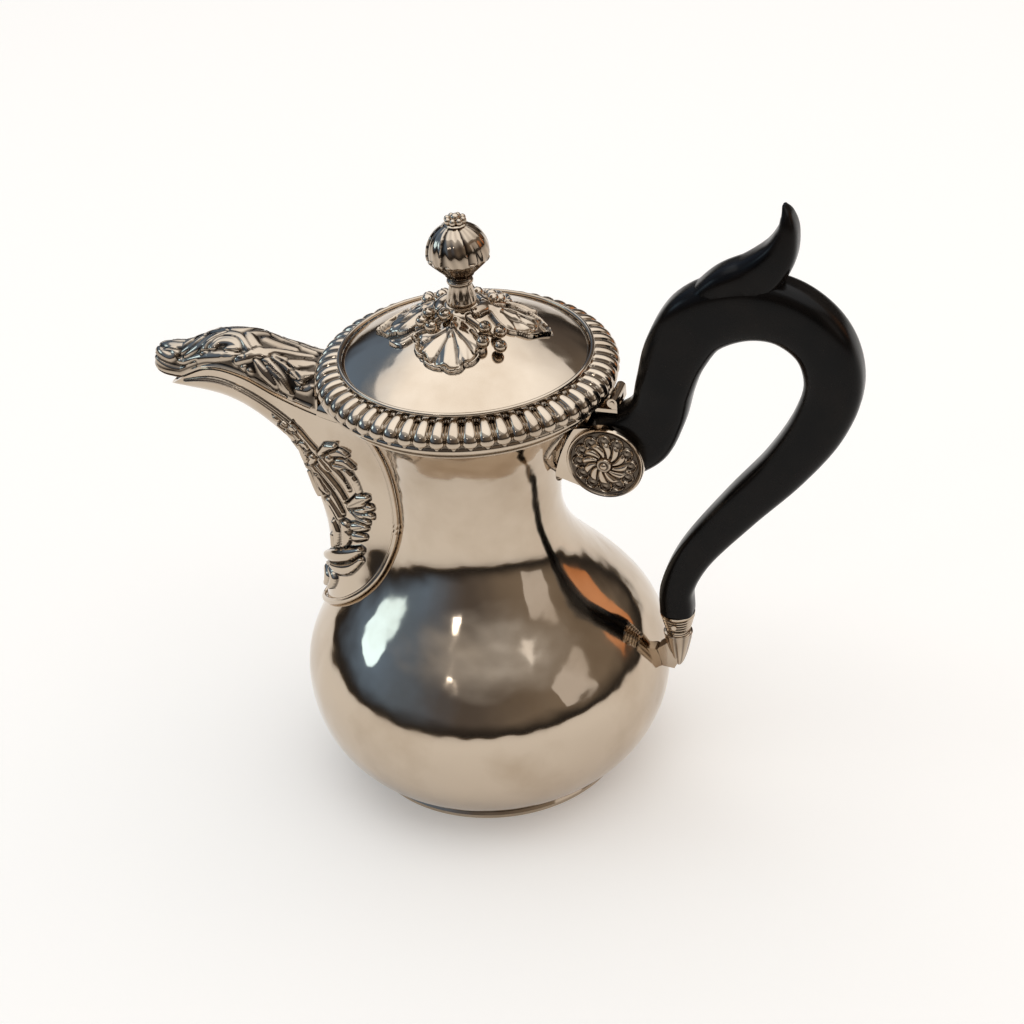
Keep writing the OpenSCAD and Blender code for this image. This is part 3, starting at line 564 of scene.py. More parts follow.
def makeBody(shape):
    line = bodyLine(shape, 22, 40, 34)
    inner = inward(line, shape["sheet"])
    floorZ = shape["footH"] + shape["sheet"]
    inner = inner[inner[:, 1] > floorZ]
    inner[-1, 1] = shape["mouthZ"]
    outline = np.vstack([[(shape["axisR"], shape["footH"])], line, inner[::-1],
                         [(inner[0, 0], floorZ), (shape["axisR"], floorZ)]])
    rings = turned(outline, shape["columns"])
    piece = makeMesh("potBody", rings, cappedFaces(len(rings), shape["columns"]), raisedSilver)
    holes = []
    for row in range(shape["strainRows"]):
        for side in (-1, 0, 1):
            if (row + side) % 2 == 0:
                z = shape["waistZ"] - shape["strainLow"] + row * shape["strainPitch"]
                path = [(x, side * shape["strainPitch"], z) for x in (-10, -30, -shape["bellyR"])]
                holes.append(tube(path, shape["strainD"] / 2, 28))
    combine(piece, makeMesh("strainerDrill", *joined(holes), raisedSilver), "DIFFERENCE")
    place(piece, "jug", "body_shell")


makeBody(pot)
print("body ready")

# lid
lid = {
    "domeR": 37.0, "rise": 17.0, "edgeZ": 144.69, "topR": 4.4, "holeR": 2, "z": 135.07, "plateR": 41.9,
    "plateT": 1, "wallOut": 0.3, "wallTop": 0.4, "columns": 160,
}
lid["topZ"] = lid["edgeZ"] + lid["rise"]
domeSkin = np.array(cubicLine(
    (lid["domeR"], lid["edgeZ"]), (lid["domeR"] * 0.82, lid["edgeZ"] + lid["rise"] * 0.3),
    (lid["domeR"] * 0.42, lid["edgeZ"] + lid["rise"] * 0.58), (lid["topR"], lid["topZ"]), 40))


def domeHeight(r):
    return np.interp(r, domeSkin[::-1, 0], domeSkin[::-1, 1])


def offDome(x, y, lift):  # a point over a place on the dome, lifted off its skin
    r = np.maximum(np.hypot(x, y), 1e-6)
    fall = domeHeight(r - 0.5) - domeHeight(r + 0.5)
    steep = np.hypot(1, fall)
    out = 1 + lift * fall / steep / r
    return np.stack([x * out, y * out, domeHeight(r) + lift / steep], -1)


def makeDome(shape):
    inner = inward(domeSkin, pot["sheet"])
    plateTop, inside = shape["z"] + shape["plateT"], shape["domeR"] - pot["sheet"]
    outside = shape["domeR"] + shape["wallOut"]
    outline = np.vstack([
        [(shape["plateR"], shape["z"]), (shape["plateR"], plateTop), (outside, plateTop),
         (outside, shape["edgeZ"] - shape["wallTop"])], domeSkin,
        [(shape["holeR"], shape["topZ"]), (shape["holeR"], shape["topZ"] - pot["sheet"])], inner[::-1],
        [(inside, shape["edgeZ"] - pot["sheet"]), (inside, shape["z"])]])
    rings = turned(outline, shape["columns"])
    place(makeMesh("lidDome", rings, gridFaces(len(rings), shape["columns"], True, True), raisedSilver),
          "lid", "lid_dome")


gadroon = {
    "count": 58, "outer": 45.5, "inner": 37.42, "low": 136.19, "height": 8.2, "bite": 1.15, "columns": 18,
    "rows": 46, "dropAt": 9.6, "dropLong": 3, "topWidth": 0.70, "neckWidth": 0.80, "dropWidth": 0.93,
    "dart": 0.55, "dartWide": 0.27, "ribAt": 12.75, "rib": 0.9, "ribWide": 0.75,
}


def makeGadroons(values):  # round lobes with a drop end, fine darts between them, a plain rib below
    inner, outer, low = values["inner"], values["outer"], values["low"]
    top, high, wide, deep = (low + values["height"] * share for share in (1, 0.82, 0.38, 0.18))
    crest = np.array(
        cubicLine((inner, top), (inner + 4, top + 0.3), (outer, high), (outer, wide), 60)
        + cubicLine((outer, wide), (outer, deep), (outer - 1, low), (outer - 2.4, low), 30, 1))
    length = runLength(crest)
    along = np.linspace(0, length[-1], values["rows"])
    crest = np.stack([np.interp(along, length, crest[:, k]) for k in (0, 1)], 1)
    floor = crest + zeroToOne(along / 1.2)[:, None] * (inward(crest[::-1], values["bite"])[::-1] - crest)
    count = values["count"] * values["columns"]
    share = (np.arange(count) % values["columns"]) / values["columns"] * 2 - 1  # -1 to 1 across each lobe
    halfPitch = math.pi * crest[:, 0] / values["count"]
    y = np.repeat(along[:, None], count, 1)
    neck = values["dropAt"] - values["dropLong"]
    widthShare = np.interp(along, [0, neck, values["dropAt"]],
                           [values["topWidth"], values["neckWidth"], values["dropWidth"]])
    near = np.hypot(share[None, :] * halfPitch[:, None], y - np.clip(y, 1.0, values["dropAt"]))
    near = near / (widthShare * halfPitch)[:, None]
    lobe = zeroToOne(1 - near**2.3)**0.5
    dart = values["dart"] * bell((1 - np.abs(share)) * halfPitch[:, None], 0, values["dartWide"])
    dart = dart * zeroToOne((values["dropAt"] + 1.6 - y) / 1.5)
    rib = values["rib"] * bell(y, values["ribAt"], values["ribWide"])
    height = np.maximum(np.maximum(lobe, dart), rib)
    points = floor[:, None] + (crest - floor)[:, None] * height[..., None]
    points = np.concatenate([points, np.full((1, count, 2), (inner, low))])
    rings = polar(points[..., 0], angleSteps(count), points[..., 1])
    marks = np.zeros(rings.shape[:2])
    # darker between the lobes and in the darts: painted shade with tarnish in the hollows
    marks[:-1] = zeroToOne(1 - height * 1.9) * 0.85
    faces = gridFaces(len(rings), count, True, True)
    castPiece("gadroonedBorder", "lid", "gadroon_border", rings, faces, marks)


def rotated(line, turn):
    c, s = math.cos(turn), math.sin(turn)
    return [(x * c - y * s, x * s + y * c) for x, y in line]


# cast work on the lid: (x, y) from its axis
lidLeaf = {"inner": 5.2, "outer": 28.0, "rows": 92, "columns": 420, "sunk": 0.18, "under": 0.7}
fanLeaf = [  # a broad folded leaf with a turned-up scalloped edge
    ([(0.4, -9.5), (-3.5, -12.3), (-7.0, -13.7)], (2.5, 3.4, 2.4), 1.25, "plain"),
    ([(0.4, -9.5), (-2.2, -14.2), (-4.0, -18.0)], (2.5, 4.4, 3.4), 1.35, "plain"),
    ([(0.6, -9.5), (1.4, -15.1), (1.8, -19.8)], (2.5, 4.6, 3.8), 1.45, "plain"),
    ([(0.8, -9.5), (4.0, -14.2), (6.0, -18.0)], (2.5, 4.2, 3.2), 1.35, "plain"),
    ([(0.8, -9.5), (4.5, -11.6), (7.6, -13.9)], (2.5, 3.2, 2.4), 1.25, "plain"),
    ([(0.6, -10.0), (-3.6, -12.4), (-9.0, -13.1)], (1.0, 1.7, 0.8), 0.36),
    ([(0.6, -10.4), (-2.6, -14.6), (-6.2, -18.7)], (1.0, 1.9, 0.9), 0.4),
    ([(0.7, -10.4), (1.2, -16.0), (1.5, -22.6)], (1.2, 2.4, 1.2), 0.48),
    ([(0.9, -10.4), (4.4, -15.1), (7.0, -20.0)], (1.0, 1.9, 0.9), 0.4),
    ([(0.9, -10.0), (5.2, -12.2), (9.2, -14.5)], (1.0, 1.7, 0.8), 0.36),
    ([(0.2, -11.4), (-3.2, -13.7), (-7.6, -15.7)], (0.4, 0.6, 0.4), -0.45),
    ([(0.5, -11.8), (-0.8, -16.5), (-2.4, -21.3)], (0.4, 0.6, 0.4), -0.45),
    ([(0.9, -11.8), (3.2, -16.5), (4.8, -21.3)], (0.4, 0.6, 0.4), -0.45),
    ([(1.2, -11.4), (5.0, -13.9), (8.4, -16.8)], (0.4, 0.6, 0.4), -0.45),
    ([(-4.0, -10.2), (-7.6, -10.8), (-10.6, -12.2), (-9.5, -14.1), (-8.8, -14.8)],
     (0.3, 0.42, 0.45, 0.42, 0.35), 1.5),
    ([(-8.8, -14.8), (-9.0, -16.7), (-7.6, -18.9), (-5.4, -20.1)], (0.35, 0.45, 0.45, 0.4), 1.5),
    ([(-5.4, -20.1), (-4.2, -22.1), (-1.4, -23.3), (1.4, -23.2)], (0.35, 0.45, 0.45, 0.4), 1.55),
    ([(1.4, -23.2), (3.2, -23.9), (5.8, -23.0), (7.0, -21.1)], (0.4, 0.45, 0.45, 0.35), 1.55),
    ([(7.0, -21.1), (8.9, -19.8), (9.8, -17.6), (9.4, -16.1)], (0.35, 0.45, 0.45, 0.35), 1.5),
    ([(9.4, -16.1), (10.9, -14.5), (9.6, -12.4), (6.0, -10.3)], (0.35, 0.45, 0.42, 0.3), 1.5),
    ([(0.3, -6.4), (0.5, -9.4), (0.8, -13.4)], (1.5, 2.0, 1.1), 0.49),
]
narrowLeaf = [  # a pointed leaf on the handle's side
    ([(8.0, 0.6), (13.0, 2.2), (17.5, 3.4)], (2.4, 4.6, 3.6), 1.35, "plain"),
    ([(11.0, 1.0), (15.0, 4.6), (18.6, 5.4)], (2.6, 3.6, 2.4), 1.3, "plain"),
    ([(10.5, 0.5), (14.5, -0.8), (18.8, 0.4)], (2.6, 3.0, 2.0), 1.3, "plain"),
    ([(8.4, 0.6), (16.0, 2.4), (24.8, 3.9)], (1.0, 1.6, 0.7), 0.45),
    ([(10.6, 1.4), (13.4, 5.0), (16.8, 8.0)], (0.8, 1.3, 0.6), 0.35),
    ([(14.8, 2.6), (18.0, 5.2), (21.0, 6.6)], (0.7, 1.1, 0.5), 0.3),
    ([(10.6, 0.6), (13.6, -1.8), (16.4, -3.4)], (0.8, 1.3, 0.6), 0.35),
    ([(14.8, 1.6), (18.0, 0.0), (20.8, -0.4)], (0.7, 1.1, 0.5), 0.3),
    ([(11.0, 2.6), (15.6, 4.4), (20.4, 5.2)], (0.45, 0.7, 0.45), -0.6),
    ([(11.2, 0.2), (15.8, 0.3), (20.4, 1.6)], (0.45, 0.7, 0.45), -0.6),
    ([(8.2, 3.0), (10.4, 7.2), (13.8, 9.4), (17.6, 8.9)], (0.3, 0.42, 0.45, 0.35), 1.45),
    ([(17.6, 8.9), (20.6, 8.2), (22.8, 6.2), (25.4, 4.3)], (0.35, 0.45, 0.4, 0.3), 1.45),
    ([(8.8, -1.6), (12.0, -3.9), (15.2, -4.9), (17.8, -3.6)], (0.3, 0.42, 0.45, 0.35), 1.45),
    ([(17.8, -3.6), (20.8, -2.4), (23.0, 0.6), (25.4, 3.7)], (0.35, 0.45, 0.4, 0.3), 1.45),
]
stalks = [  # round the stem and out to the berries, with one small leaf
    ([(5.6, -3.4), (2.6, -6.2), (-2.4, -6.2), (-5.8, -3.2)], (1.4, 1.6, 1.6, 1.4), 1.3),
    ([(5.8, 3.2), (7.0, 0.4), (5.6, -3.4)], (1.5, 1.7, 1.5), 1.5),
    ([(-3.4, -6.6), (-7.2, -8.6), (-11.0, -9.2)], (0.8, 0.7, 0.6), 1.2),
    ([(4.2, -6.4), (8.4, -7.8), (12.0, -8.6)], (0.8, 0.7, 0.6), 1.2),
    ([(-10.4, -11.6), (-14.2, -13.6), (-18.0, -12.4)], (1.1, 1.7, 0.7), 1.3),
    ([(-11.4, -12.2), (-14.2, -13.5), (-17.0, -12.7)], (0.3, 0.4, 0.3), -0.5),
]


def makeLidLeaves(values):  # one thin cast skin over the dome, sunk under it between the leaves
    radii = np.linspace(values["inner"], values["outer"], values["rows"])[:, None]
    angles = angleSteps(values["columns"])
    x, y = radii * np.cos(angles), radii * np.sin(angles)
    strokes = []
    for turn in (0, math.pi):
        for line, *rest in stalks + narrowLeaf + fanLeaf:
            strokes.append((rotated(line, turn), *rest))
    height, depth = relief(np.stack([x, y], -1), smoothed(strokes), wide=1.15, full=0.75, seam=0.15)
    castSlab("vineLeaves", "lid", "lid_leaves", offDome(x, y, seated(height, depth, values["sunk"])),
             offDome(x, y, -values["under"]), depth, True)


berry = {
    "r": 2.0, "sides": 20, "turns": (6, 186), "lift": 0.5, "farLift": -1.1,
    "before": [(50.4, 12.7), (59.8, 16.9), (38.0, 15.6), (47.7, 19.8)],  # turn from the narrow leaf and reach
    "after": [(69.3, 8.0), (37.7, 9.6), (59.6, 12.3), (41.4, 12.3)],
}
# (radius, height) of a berry of radius 1, from the dimple on its top down to its stalk
berryLine = [(0.03, 0.62), (0.14, 0.66), (0.24, 0.84), (0.34, 0.95)]
berryLine += [(math.sin(a), math.cos(a)) for a in np.linspace(0.42, math.pi - 0.42, 12)]
# darkness in the dimple and under the ball by its stalk: painted shade with tarnish
berryShadeAndTarnish = [1, 0.9, 0.3] + [0] * (len(berryLine) - 5) + [0.6, 1, 1]


def makeBerries(values):
    r, sides = values["r"], values["sides"]
    parts = []
    for turn in values["turns"]:
        for side in (-1, 1):
            for away, reach in values["before" if side < 0 else "after"]:
                a = math.radians(turn + side * away)
                x, y = reach * math.cos(a), reach * math.sin(a)
                lift = values["farLift" if y > 0 else "lift"]
                stalk = (0.4, -1 - 1.3 * max(lift, 0) / r)
                ball = turned(np.array(berryLine + [stalk]) * r, sides).reshape(-1, 3)
                up = Vector(offDome(x, y, 1) - offDome(x, y, 0))
                tilt = np.array(up.to_track_quat("Z", "Y").to_matrix())
                parts.append((ball @ tilt.T + offDome(x, y, r + lift), cappedFaces(len(berryShadeAndTarnish), sides)))
    marks = np.tile(np.repeat(berryShadeAndTarnish, sides), len(parts))
    castPiece("berries", "lid", "lid_berries", *joined(parts), marks, 38)


makeDome(lid)
makeGadroons(gadroon)
makeLidLeaves(lidLeaf)
makeBerries(berry)
print("lid ready")

# finial
finial = {
    "low": 161.81, "stemH": 9.0, "stemR": 4.5, "neckR": 3.2, "beadR": 0.75, "beadAt": 6.9, "reeds": 5,
    "budR": 9.4, "petals": 7, "sepalH": 6.4, "sepals": 8, "cupR": 3.9, "crownLow": 3.2, "columns": 196,
    "crownBeads": 8, "crownR": 2.4, "crownGap": 1.3,
}
finial["budZ"] = finial["low"] + finial["stemH"] + pot["gap"]
finial["budLow"] = finial["budZ"] + finial["sepalH"] + pot["gap"]
finial["budH"] = 2 * finial["budR"] - finial["sepalH"] - finial["crownLow"]


def makeStem(values, sides=96):
    z, top, wide, neck = values["low"], values["low"] + values["stemH"], values["stemR"], values["neckR"]
    bead, beadZ = values["beadR"], values["low"] + values["beadAt"]
    line = [(pot["axisR"], z), (wide, z), (wide + 0.12, z + 0.35), (wide, z + 0.9)]
    line += cubicLine((wide - 0.05, z + 1.0), (4.2, z + 2.6), (3.5, z + 4.2), (neck, z + 6.0), 12, 1)
    line += [(neck + bead * math.sin(a), beadZ - bead * math.cos(a)) for a in np.linspace(0.3, 2.9, 8)]
    line += [(3.25, z + 7.85), (3.5, z + 8.3), (4.3, top), (pot["axisR"], top)]

    def folds(r, height, angle):
        foot = zeroToOne((height - z - 0.5) / 1.5) * zeroToOne((z + 6.0 - height) / 2)
        return -0.42 * foot * (1 - np.abs(np.cos(values["reeds"] * angle)))**1.6

    rings = turned(line, sides, folds)
    heights = np.repeat(np.array(line)[:, 1:], sides, 1) - z
    marks = bell(heights, 6.05, 0.25) + bell(heights, 7.9, 0.3)  # painted shade with tarnish above and below the bead
    castPiece("finialStem", "lid", "finial_stem", rings, cappedFaces(len(rings), sides), marks, 50)


def makeSepals(values, rows=30):  # a folded cup of leaves that tapers to the stem, each tip a small knob
    angles = angleSteps(values["columns"])
    leaf = np.abs(np.cos(values["sepals"] / 2 * angles))  # 1 on a leaf's middle, 0 between leaves
    ribs = np.cos(values["sepals"] * 2 * angles)
    v = np.linspace(0, 1, rows)[:, None]  # 0 at the stem, 1 at the tips
    middle = np.sin(v * math.pi)
    tipR = values["budR"] * 0.955 + 0.95 * leaf**3
    r = values["cupR"] + (tipR - values["cupR"]) * (0.50 * v + 0.50 * v**1.5)
    r = r + 0.5 * np.exp(-((1 - leaf) / 0.04)**2) * middle**0.5
    r = r - 0.55 * bell(leaf, 0, 0.24) * (0.45 + 0.55 * v) + 0.34 * ribs * middle**0.7
    r = r - 0.55 * zeroToOne((v - 0.88) / 0.12)**2
    z = values["budZ"] + values["sepalH"] * (0.93 + 0.07 * leaf**2) * v
    innerR = np.maximum(np.minimum(r - 0.7, values["budR"] * 0.86 - 3.2 * (1 - v)), 0.4)
    inner = polar(innerR, angles, z)
    inner[0, :, 2] = values["budZ"] + 0.35
    # painted shade with tarnish between the leaves and in the troughs of their ribs, and an even shade on the
    # inner skin
    depth = bell(leaf, 0, 0.2) * (0.5 + 0.4 * v) + 0.75 * (0.5 - 0.5 * ribs)**2 + 0 * r
    marks = zeroToOne(np.concatenate([depth, 0 * depth + 0.4]))
    castPiece("finialSepals", "lid", "finial_sepals", np.concatenate([polar(r, angles, z), inner]),
              slabFaces(rows, len(angles), True), marks)


def makeBud(values, rows=44):  # lapped petals with soft upright folds, closing under the crown
    angles = angleSteps(values["columns"])
    rise = np.linspace(-0.16, 1.46, rows)[:, None]  # 0 at the widest place
    lap = (values["petals"] * angles / fullTurn + 0.12 * rise) % 1  # 0 where the next petal starts
    step = 0.075 * (lap**0.6 - 0.62) * zeroToOne(np.cos(rise * 0.9))
    ripple = np.cos(3 * fullTurn * lap + 2.5 * rise)
    folds = 0.008 * ripple + 0.012 * np.sin(3 * angles + 2.2 * rise)
    r = values["budR"] * np.cos(np.where(rise < 0, 1.6 * rise, 0.95 * rise)) * (0.975 + step + folds)
    z = values["budLow"] + values["budH"] * np.sin(rise) * (1 + 0.03 * lap)
    rings = polar(r, angles, z)
    # painted shade with tarnish where one petal laps the next and in the troughs of the folds
    marks = zeroToOne(bell(lap, 0, 0.13) + 0.14 * (1 - ripple) + 0 * r)
    castPiece("finialBud", "lid", "finial_bud", rings, cappedFaces(len(rings), len(angles)), marks)


def makeCrown(values):  # a ring of beads round a bigger one, on a collar
    top = values["budLow"] + values["budH"]
    seat = top + values["crownGap"] + pot["gap"]
    arc = [(max(pot["axisR"], math.sin(t)), -math.cos(t)) for t in np.linspace(0, math.pi, 12)]
    bead, beadFaces = turned(arc, 18).reshape(-1, 3), cappedFaces(12, 18)
    spots = [(values["crownR"] * math.cos(a), values["crownR"] * math.sin(a), seat - 0.1)
             for a in angleSteps(values["crownBeads"])]
    parts = [(bead * (1.0, 1.0, 1.2) + spot, beadFaces) for spot in spots]
    parts.append((bead * 1.45 + (0, 0, seat + 0.45), beadFaces))
    ring = [(pot["axisR"], top - 0.2), (3.2, top - 0.2), (3.35, top + 0.2), (3.0, top + 0.5),
            (pot["axisR"], top + 0.5)]
    parts.append((turned(ring, 48), cappedFaces(len(ring), 48)))
    castPiece("finialCrown", "lid", "finial_crown", *joined(parts), crease=38)


makeStem(finial)
makeSepals(finial)
makeBud(finial)
makeCrown(finial)
print("finial ready")

# spout
spout = {
    "throatZ": 125.2, "lipX": 96.8, "lipHalf": 6.0, "throatHalf": 12.4, "seatAngle": 37.0, "seatLow": 51.0,
    "seatTurn": 27.0, "rows": 72, "depths": 30, "wireR": 0.8, "wireAway": 80.0, "lineR": 0.42,
    "lineAway": 10.0, "lineLift": 1.3,
}
spout["topZ"] = spout["throatZ"] + 0.8
spoutKeys = [  # top edge x and z, front x and z, half width, share of it kept at the front
    (-44.5, spout["throatZ"] - 0.2, -49.4, 76, spout["throatHalf"], 0.5),
    (-57, spout["throatZ"] + 3.3, -52.8, 99.5, spout["throatHalf"] * 0.86, 0.52),
    (-69.5, spout["throatZ"] + 8.5, -62.6, 112.6, spout["throatHalf"] * 0.75, 0.56),
    (-80.5, spout["throatZ"] + 9.6, -76.8, 121.8, spout["throatHalf"] * 0.4 + spout["lipHalf"] * 0.5, 0.62),
    (5.6 - spout["lipX"], spout["throatZ"] + 4.6, -spout["lipX"], spout["throatZ"] + 0.2,
     spout["lipHalf"], 0.7),
]


def seatHalf(z):  # half the angle that the spout's seat takes up at a height
    share = zeroToOne((z - spout["seatLow"]) / spout["seatTurn"])
    return spout["seatAngle"] * np.sin(share * math.pi / 2)**0.8


def seatPoints(w, side, skin):
    z = spout["topZ"] + (spout["seatLow"] + skin * 1.6 - spout["topZ"]) * w
    turn = np.maximum(0, seatHalf(z - skin * 1.4) - skin * 62 / bodyRadius(z))
    return offBody(z, side * turn, pot["gap"] + 0.1)


def keyPoints(key, w, side, skin):
    top, front = np.array(key[:2]), np.array(key[2:4])
    back = (top - front) / np.linalg.norm(top - front) * skin * 1.3
    p = top + (front + back - top) * w[:, None]
    half = (key[4] - skin) * (1 - (1 - key[5]) * w) * np.sqrt(np.maximum(0, 1 - w**5))
    return np.stack([p[:, 0], side * half, p[:, 1]], 1)


def spoutSkin(us, ws, side, skin=0.0):  # points of the spout's side at shares along and down it
    ws = np.asarray(ws, float)
    stations = np.array([seatPoints(ws, side, skin)] + [keyPoints(key, ws, side, skin) for key in spoutKeys])
    return np.array([through(stations, u) for u in us])


def makeSpout(values):
    us = np.linspace(0, 1, values["rows"])
    ws = np.sin(np.linspace(0, math.pi / 2, values["depths"]))
    outer, inner = (np.concatenate([spoutSkin(us, ws, -1, skin), spoutSkin(us, ws, 1, skin)[:, -2::-1]], 1)
                    for skin in (0.0, pot["sheet"]))
    faces = slabFaces(*outer.shape[:2])
    place(makeMesh("spoutChannel", np.concatenate([outer, inner]), faces, raisedSilver, None, 50),
          "jug", "spout_shell")


cover = {
    "start": 0.2, "front": 46.5, "wall": 1.6, "throatH": 6.3, "crown": [13.6, 13.6, 12.4, 10.6, 8.6, 9.4],
    "rows": 120, "noseRows": 22, "columns": 96, "rise": 0.85, "sunk": 0.35, "edge": 0.90, "bead": 0.7,
    "beadWide": 0.55,
}
noseSteps = [  # forward, up, share of the width and share of the height kept
    (0, 0, 1, 1), (2.4, 0.15, 0.99, 0.95), (5.6, 0.5, 0.93, 0.86), (8.2, 1.2, 0.76, 0.70),
    (9.5, 2.2, 0.46, 0.44), (9.8, 3.4, 0.04, 0.04),
]


def arch(u, rise, skin, values):  # one cross section of the vault over the spout
    edge = spoutSkin([u], [0.0], -1)[0, 0]
    half = -edge[1] - skin
    a = np.radians(np.linspace(0, 180, values["columns"] + 1))
    y = half * np.cos(a)
    z = edge[2] + pot["gap"] + (rise - skin) * np.maximum(np.sin(a), 0)**0.8
    if u > values["start"]:
        return np.stack([np.full_like(y, edge[0]), y, z], 1)
    if u == values["start"]:
        r = np.full_like(y, values["front"] + skin)
    else:
        r = np.maximum(math.hypot(edge[0], edge[1]), bodyRadius(np.minimum(z, pot["mouthZ"])) + 0.4)
    return np.stack([-np.sqrt(r * r - y * y), y, z], 1)


# carved work on one flank: (distance from the rim, share of the way from the crown to the edge)
scrollWork = [
    ([(38.5, 0.57), (37.9, 0.39), (36.2, 0.27), (33, 0.1), (28, 0.14),
      (23.9, 0.3), (22.6, 0.44), (25.7, 0.57), (31.9, 0.64)],
     (1.0, 1.2, 1.3, 1.4, 1.3, 1.2, 1.1, 0.9, 0.7), 1.1),
    ([(35.6, 0.47), (33.4, 0.31), (29.3, 0.3), (27.2, 0.41), (30.2, 0.5)], (0.9, 0.9, 0.9, 0.8, 0.9), 0.9),
    ([(48.3, 0.56), (44.5, 0.66), (39.6, 0.71), (32.4, 0.66), (25.7, 0.56)], (0.7, 1.1, 1.3, 1.1, 0.6), 1.0),
    ([(46.0, 0.48), (42.8, 0.4), (40.2, 0.28), (37.6, 0.16), (33.2, 0.02)], (0.6, 0.9, 1.0, 0.9, 0.6), 0.8),
    ([(47.6, 0.34), (44.5, 0.22), (41.2, 0.08)], (0.6, 0.9, 0.6), 0.7),
    ([(26.9, 0.71), (26.9, 0.715)], (0.85, 0.85), 0.9),
    ([(24.6, 0.74), (24.6, 0.745)], (0.8, 0.8), 0.9),
    ([(22.4, 0.78), (22.4, 0.785)], (0.75, 0.75), 0.8),
    ([(26.9, -0.12), (22.6, 0.18), (19.4, 0.32), (16, 0.46), (12.1, 0.62), (9.6, 0.76)],
     (0.9, 1.0, 1.0, 1.0, 0.9, 0.7), 0.95),
    ([(26.3, 0.66), (22.6, 0.5), (19.4, 0.34), (12.7, 0.14), (7.9, 0.1), (4.2, 0.06)],
     (0.8, 0.9, 1.0, 0.9, 0.8, 0.6), 0.95),
    ([(16.4, 0.56), (13.2, 0.7), (8.8, 0.82)], (0.6, 1.3, 0.7), 0.8),
    ([(20.4, 0.54), (17.6, 0.68), (14.0, 0.8)], (0.6, 1.2, 0.7), 0.8),
    ([(14.7, 0.32), (11.5, 0.34), (9, 0.4), (6, 0.5), (5.2, 0.62)], (0.8, 1.3, 1.5, 1.3, 0.7), 1.0),
    ([(9.4, 0.3), (6.0, 0.26), (3.0, 0.2)], (0.8, 1.2, 0.7), 0.8),
    ([(8.2, 0.48), (4.6, 0.44), (2.2, 0.38)], (0.7, 1.1, 0.6), 0.8),
    ([(6.4, 0.7), (3.6, 0.66), (1.8, 0.58)], (0.6, 1.0, 0.6), 0.7),
    ([(19.6, 0.02), (15.2, 0.0), (10.0, 0.0)], (0.9, 1.3, 0.8), 0.8),
    ([(14.7, 0.32), (10.0, 0.37), (6.2, 0.5)], (0.3, 0.35, 0.3), -0.7),
    ([(58.0, 0.45), (55.5, 0.7), (52.0, 0.8), (47, 0.8), (41.9, 0.78)], (0.7, 1.0, 0.9, 0.7, 0.5), 0.8),
    ([(57.5, 0.2), (54.0, 0.42), (51.4, 0.5), (50.2, 0.36), (51.8, 0.24), (53.6, 0.28)],
     (0.8, 1.0, 0.9, 0.8, 0.7, 0.6), 0.9),
    ([(57.0, -0.1), (53.0, 0.06), (49.0, 0.12), (45.5, 0.02)], (0.7, 1.1, 1.0, 0.6), 0.8),
]


def coverRows(values):  # low under the lid's rim, then high and carved to the nose
    start, wall = values["start"], values["wall"]
    stops = [(start * share, values["throatH"]) for share in np.linspace(0.1, 1, 5)]
    stops.append((start, float(through(values["crown"], start))))
    low = len(stops)
    stops += [(u, float(through(values["crown"], u))) for u in np.linspace(start + 0.0001, 1, values["rows"])]
    outer = [arch(u, rise, 0, values) for u, rise in stops]
    inner = [arch(u, rise, wall, values) for u, rise in stops]
    last = outer[-1]
    for t in np.linspace(0, 1, values["noseRows"]):
        on, lift, wide, high = through(noseSteps, t)
        z = last[0, 2] + lift + (last[:, 2] - last[0, 2]) * high
        ring = np.stack([last[:, 0] - on, last[:, 1] * wide, z], 1)
        under = ring.copy()
        under[:, 2] = ring[0, 2] + 0.02
        outer.append(ring if t > 0 else ring - (0.01, 0, 0))
        inner.append(under - (0.01, 0, 0))
    return np.array(outer), np.array(inner), low


def makeCover(values):
    outer, inner, low = coverRows(values)
    carved = outer[low:]
    middle = values["columns"] // 2
    run = runLength(carved[:, middle])
    around = np.array([runLength(row) for row in carved])
    fromCrown = np.abs(around - around[:, middle:middle + 1])
    halfArc = around[:, -1] / 2
    strokes = []
    for line, widths, rise in scrollWork:
        widthAt = np.interp([p[0] for p in line], run, halfArc)
        strokes.append(([(p[0], p[1] * w) for p, w in zip(line, widthAt)], widths, rise))
    spots = np.stack([np.repeat(run[:, None], around.shape[1], 1), fromCrown], -1)
    height, depth = relief(spots, smoothed(strokes), wide=1.75, full=0.95, seam=0.26)
    edge = halfArc[:, None] * values["edge"]
    work = fromCrown < edge - 0.4
    bead = values["bead"] * bell(fromCrown, edge, values["beadWide"]) * (run > 1.5)[:, None]
    height = height * values["rise"] * work + bead
    # painted shade with tarnish on the low ground between the carving and in a line inside the bead
    ground = np.clip(0.9 - height * 1.5, 0.12, 0.9) * (fromCrown < edge)
    fade = (zeroToOne(run / 1.2) * zeroToOne((run[-1] - run) / 2))[:, None]
    marks = np.zeros(outer.shape[:2])
    marks[low:] = np.maximum(np.maximum(depth * work, bell(fromCrown, edge - 1.1, 0.4)), ground) * fade
    outer[low:] = carved + gridNormals(carved) * (height * fade - values["sunk"])[..., None]
    castSlab("spoutCover", "jug", "spout_cover", outer, inner, marks, False, 65)


wireStrip = {"u": (0.345, 0.975), "w": (0.19, 0.42), "rows": 240, "columns": 64, "sunk": 0.15, "under": 0.6}
wires = [
    ([(0.355, w), (0.45, w), (0.55, w), (0.65, w), (0.75, w), (0.86, w), (0.96, w)],
     (0.26, 0.36, 0.36, 0.32, 0.27, 0.22, 0.12), 0.5) for w in (0.235, 0.30, 0.365)
]
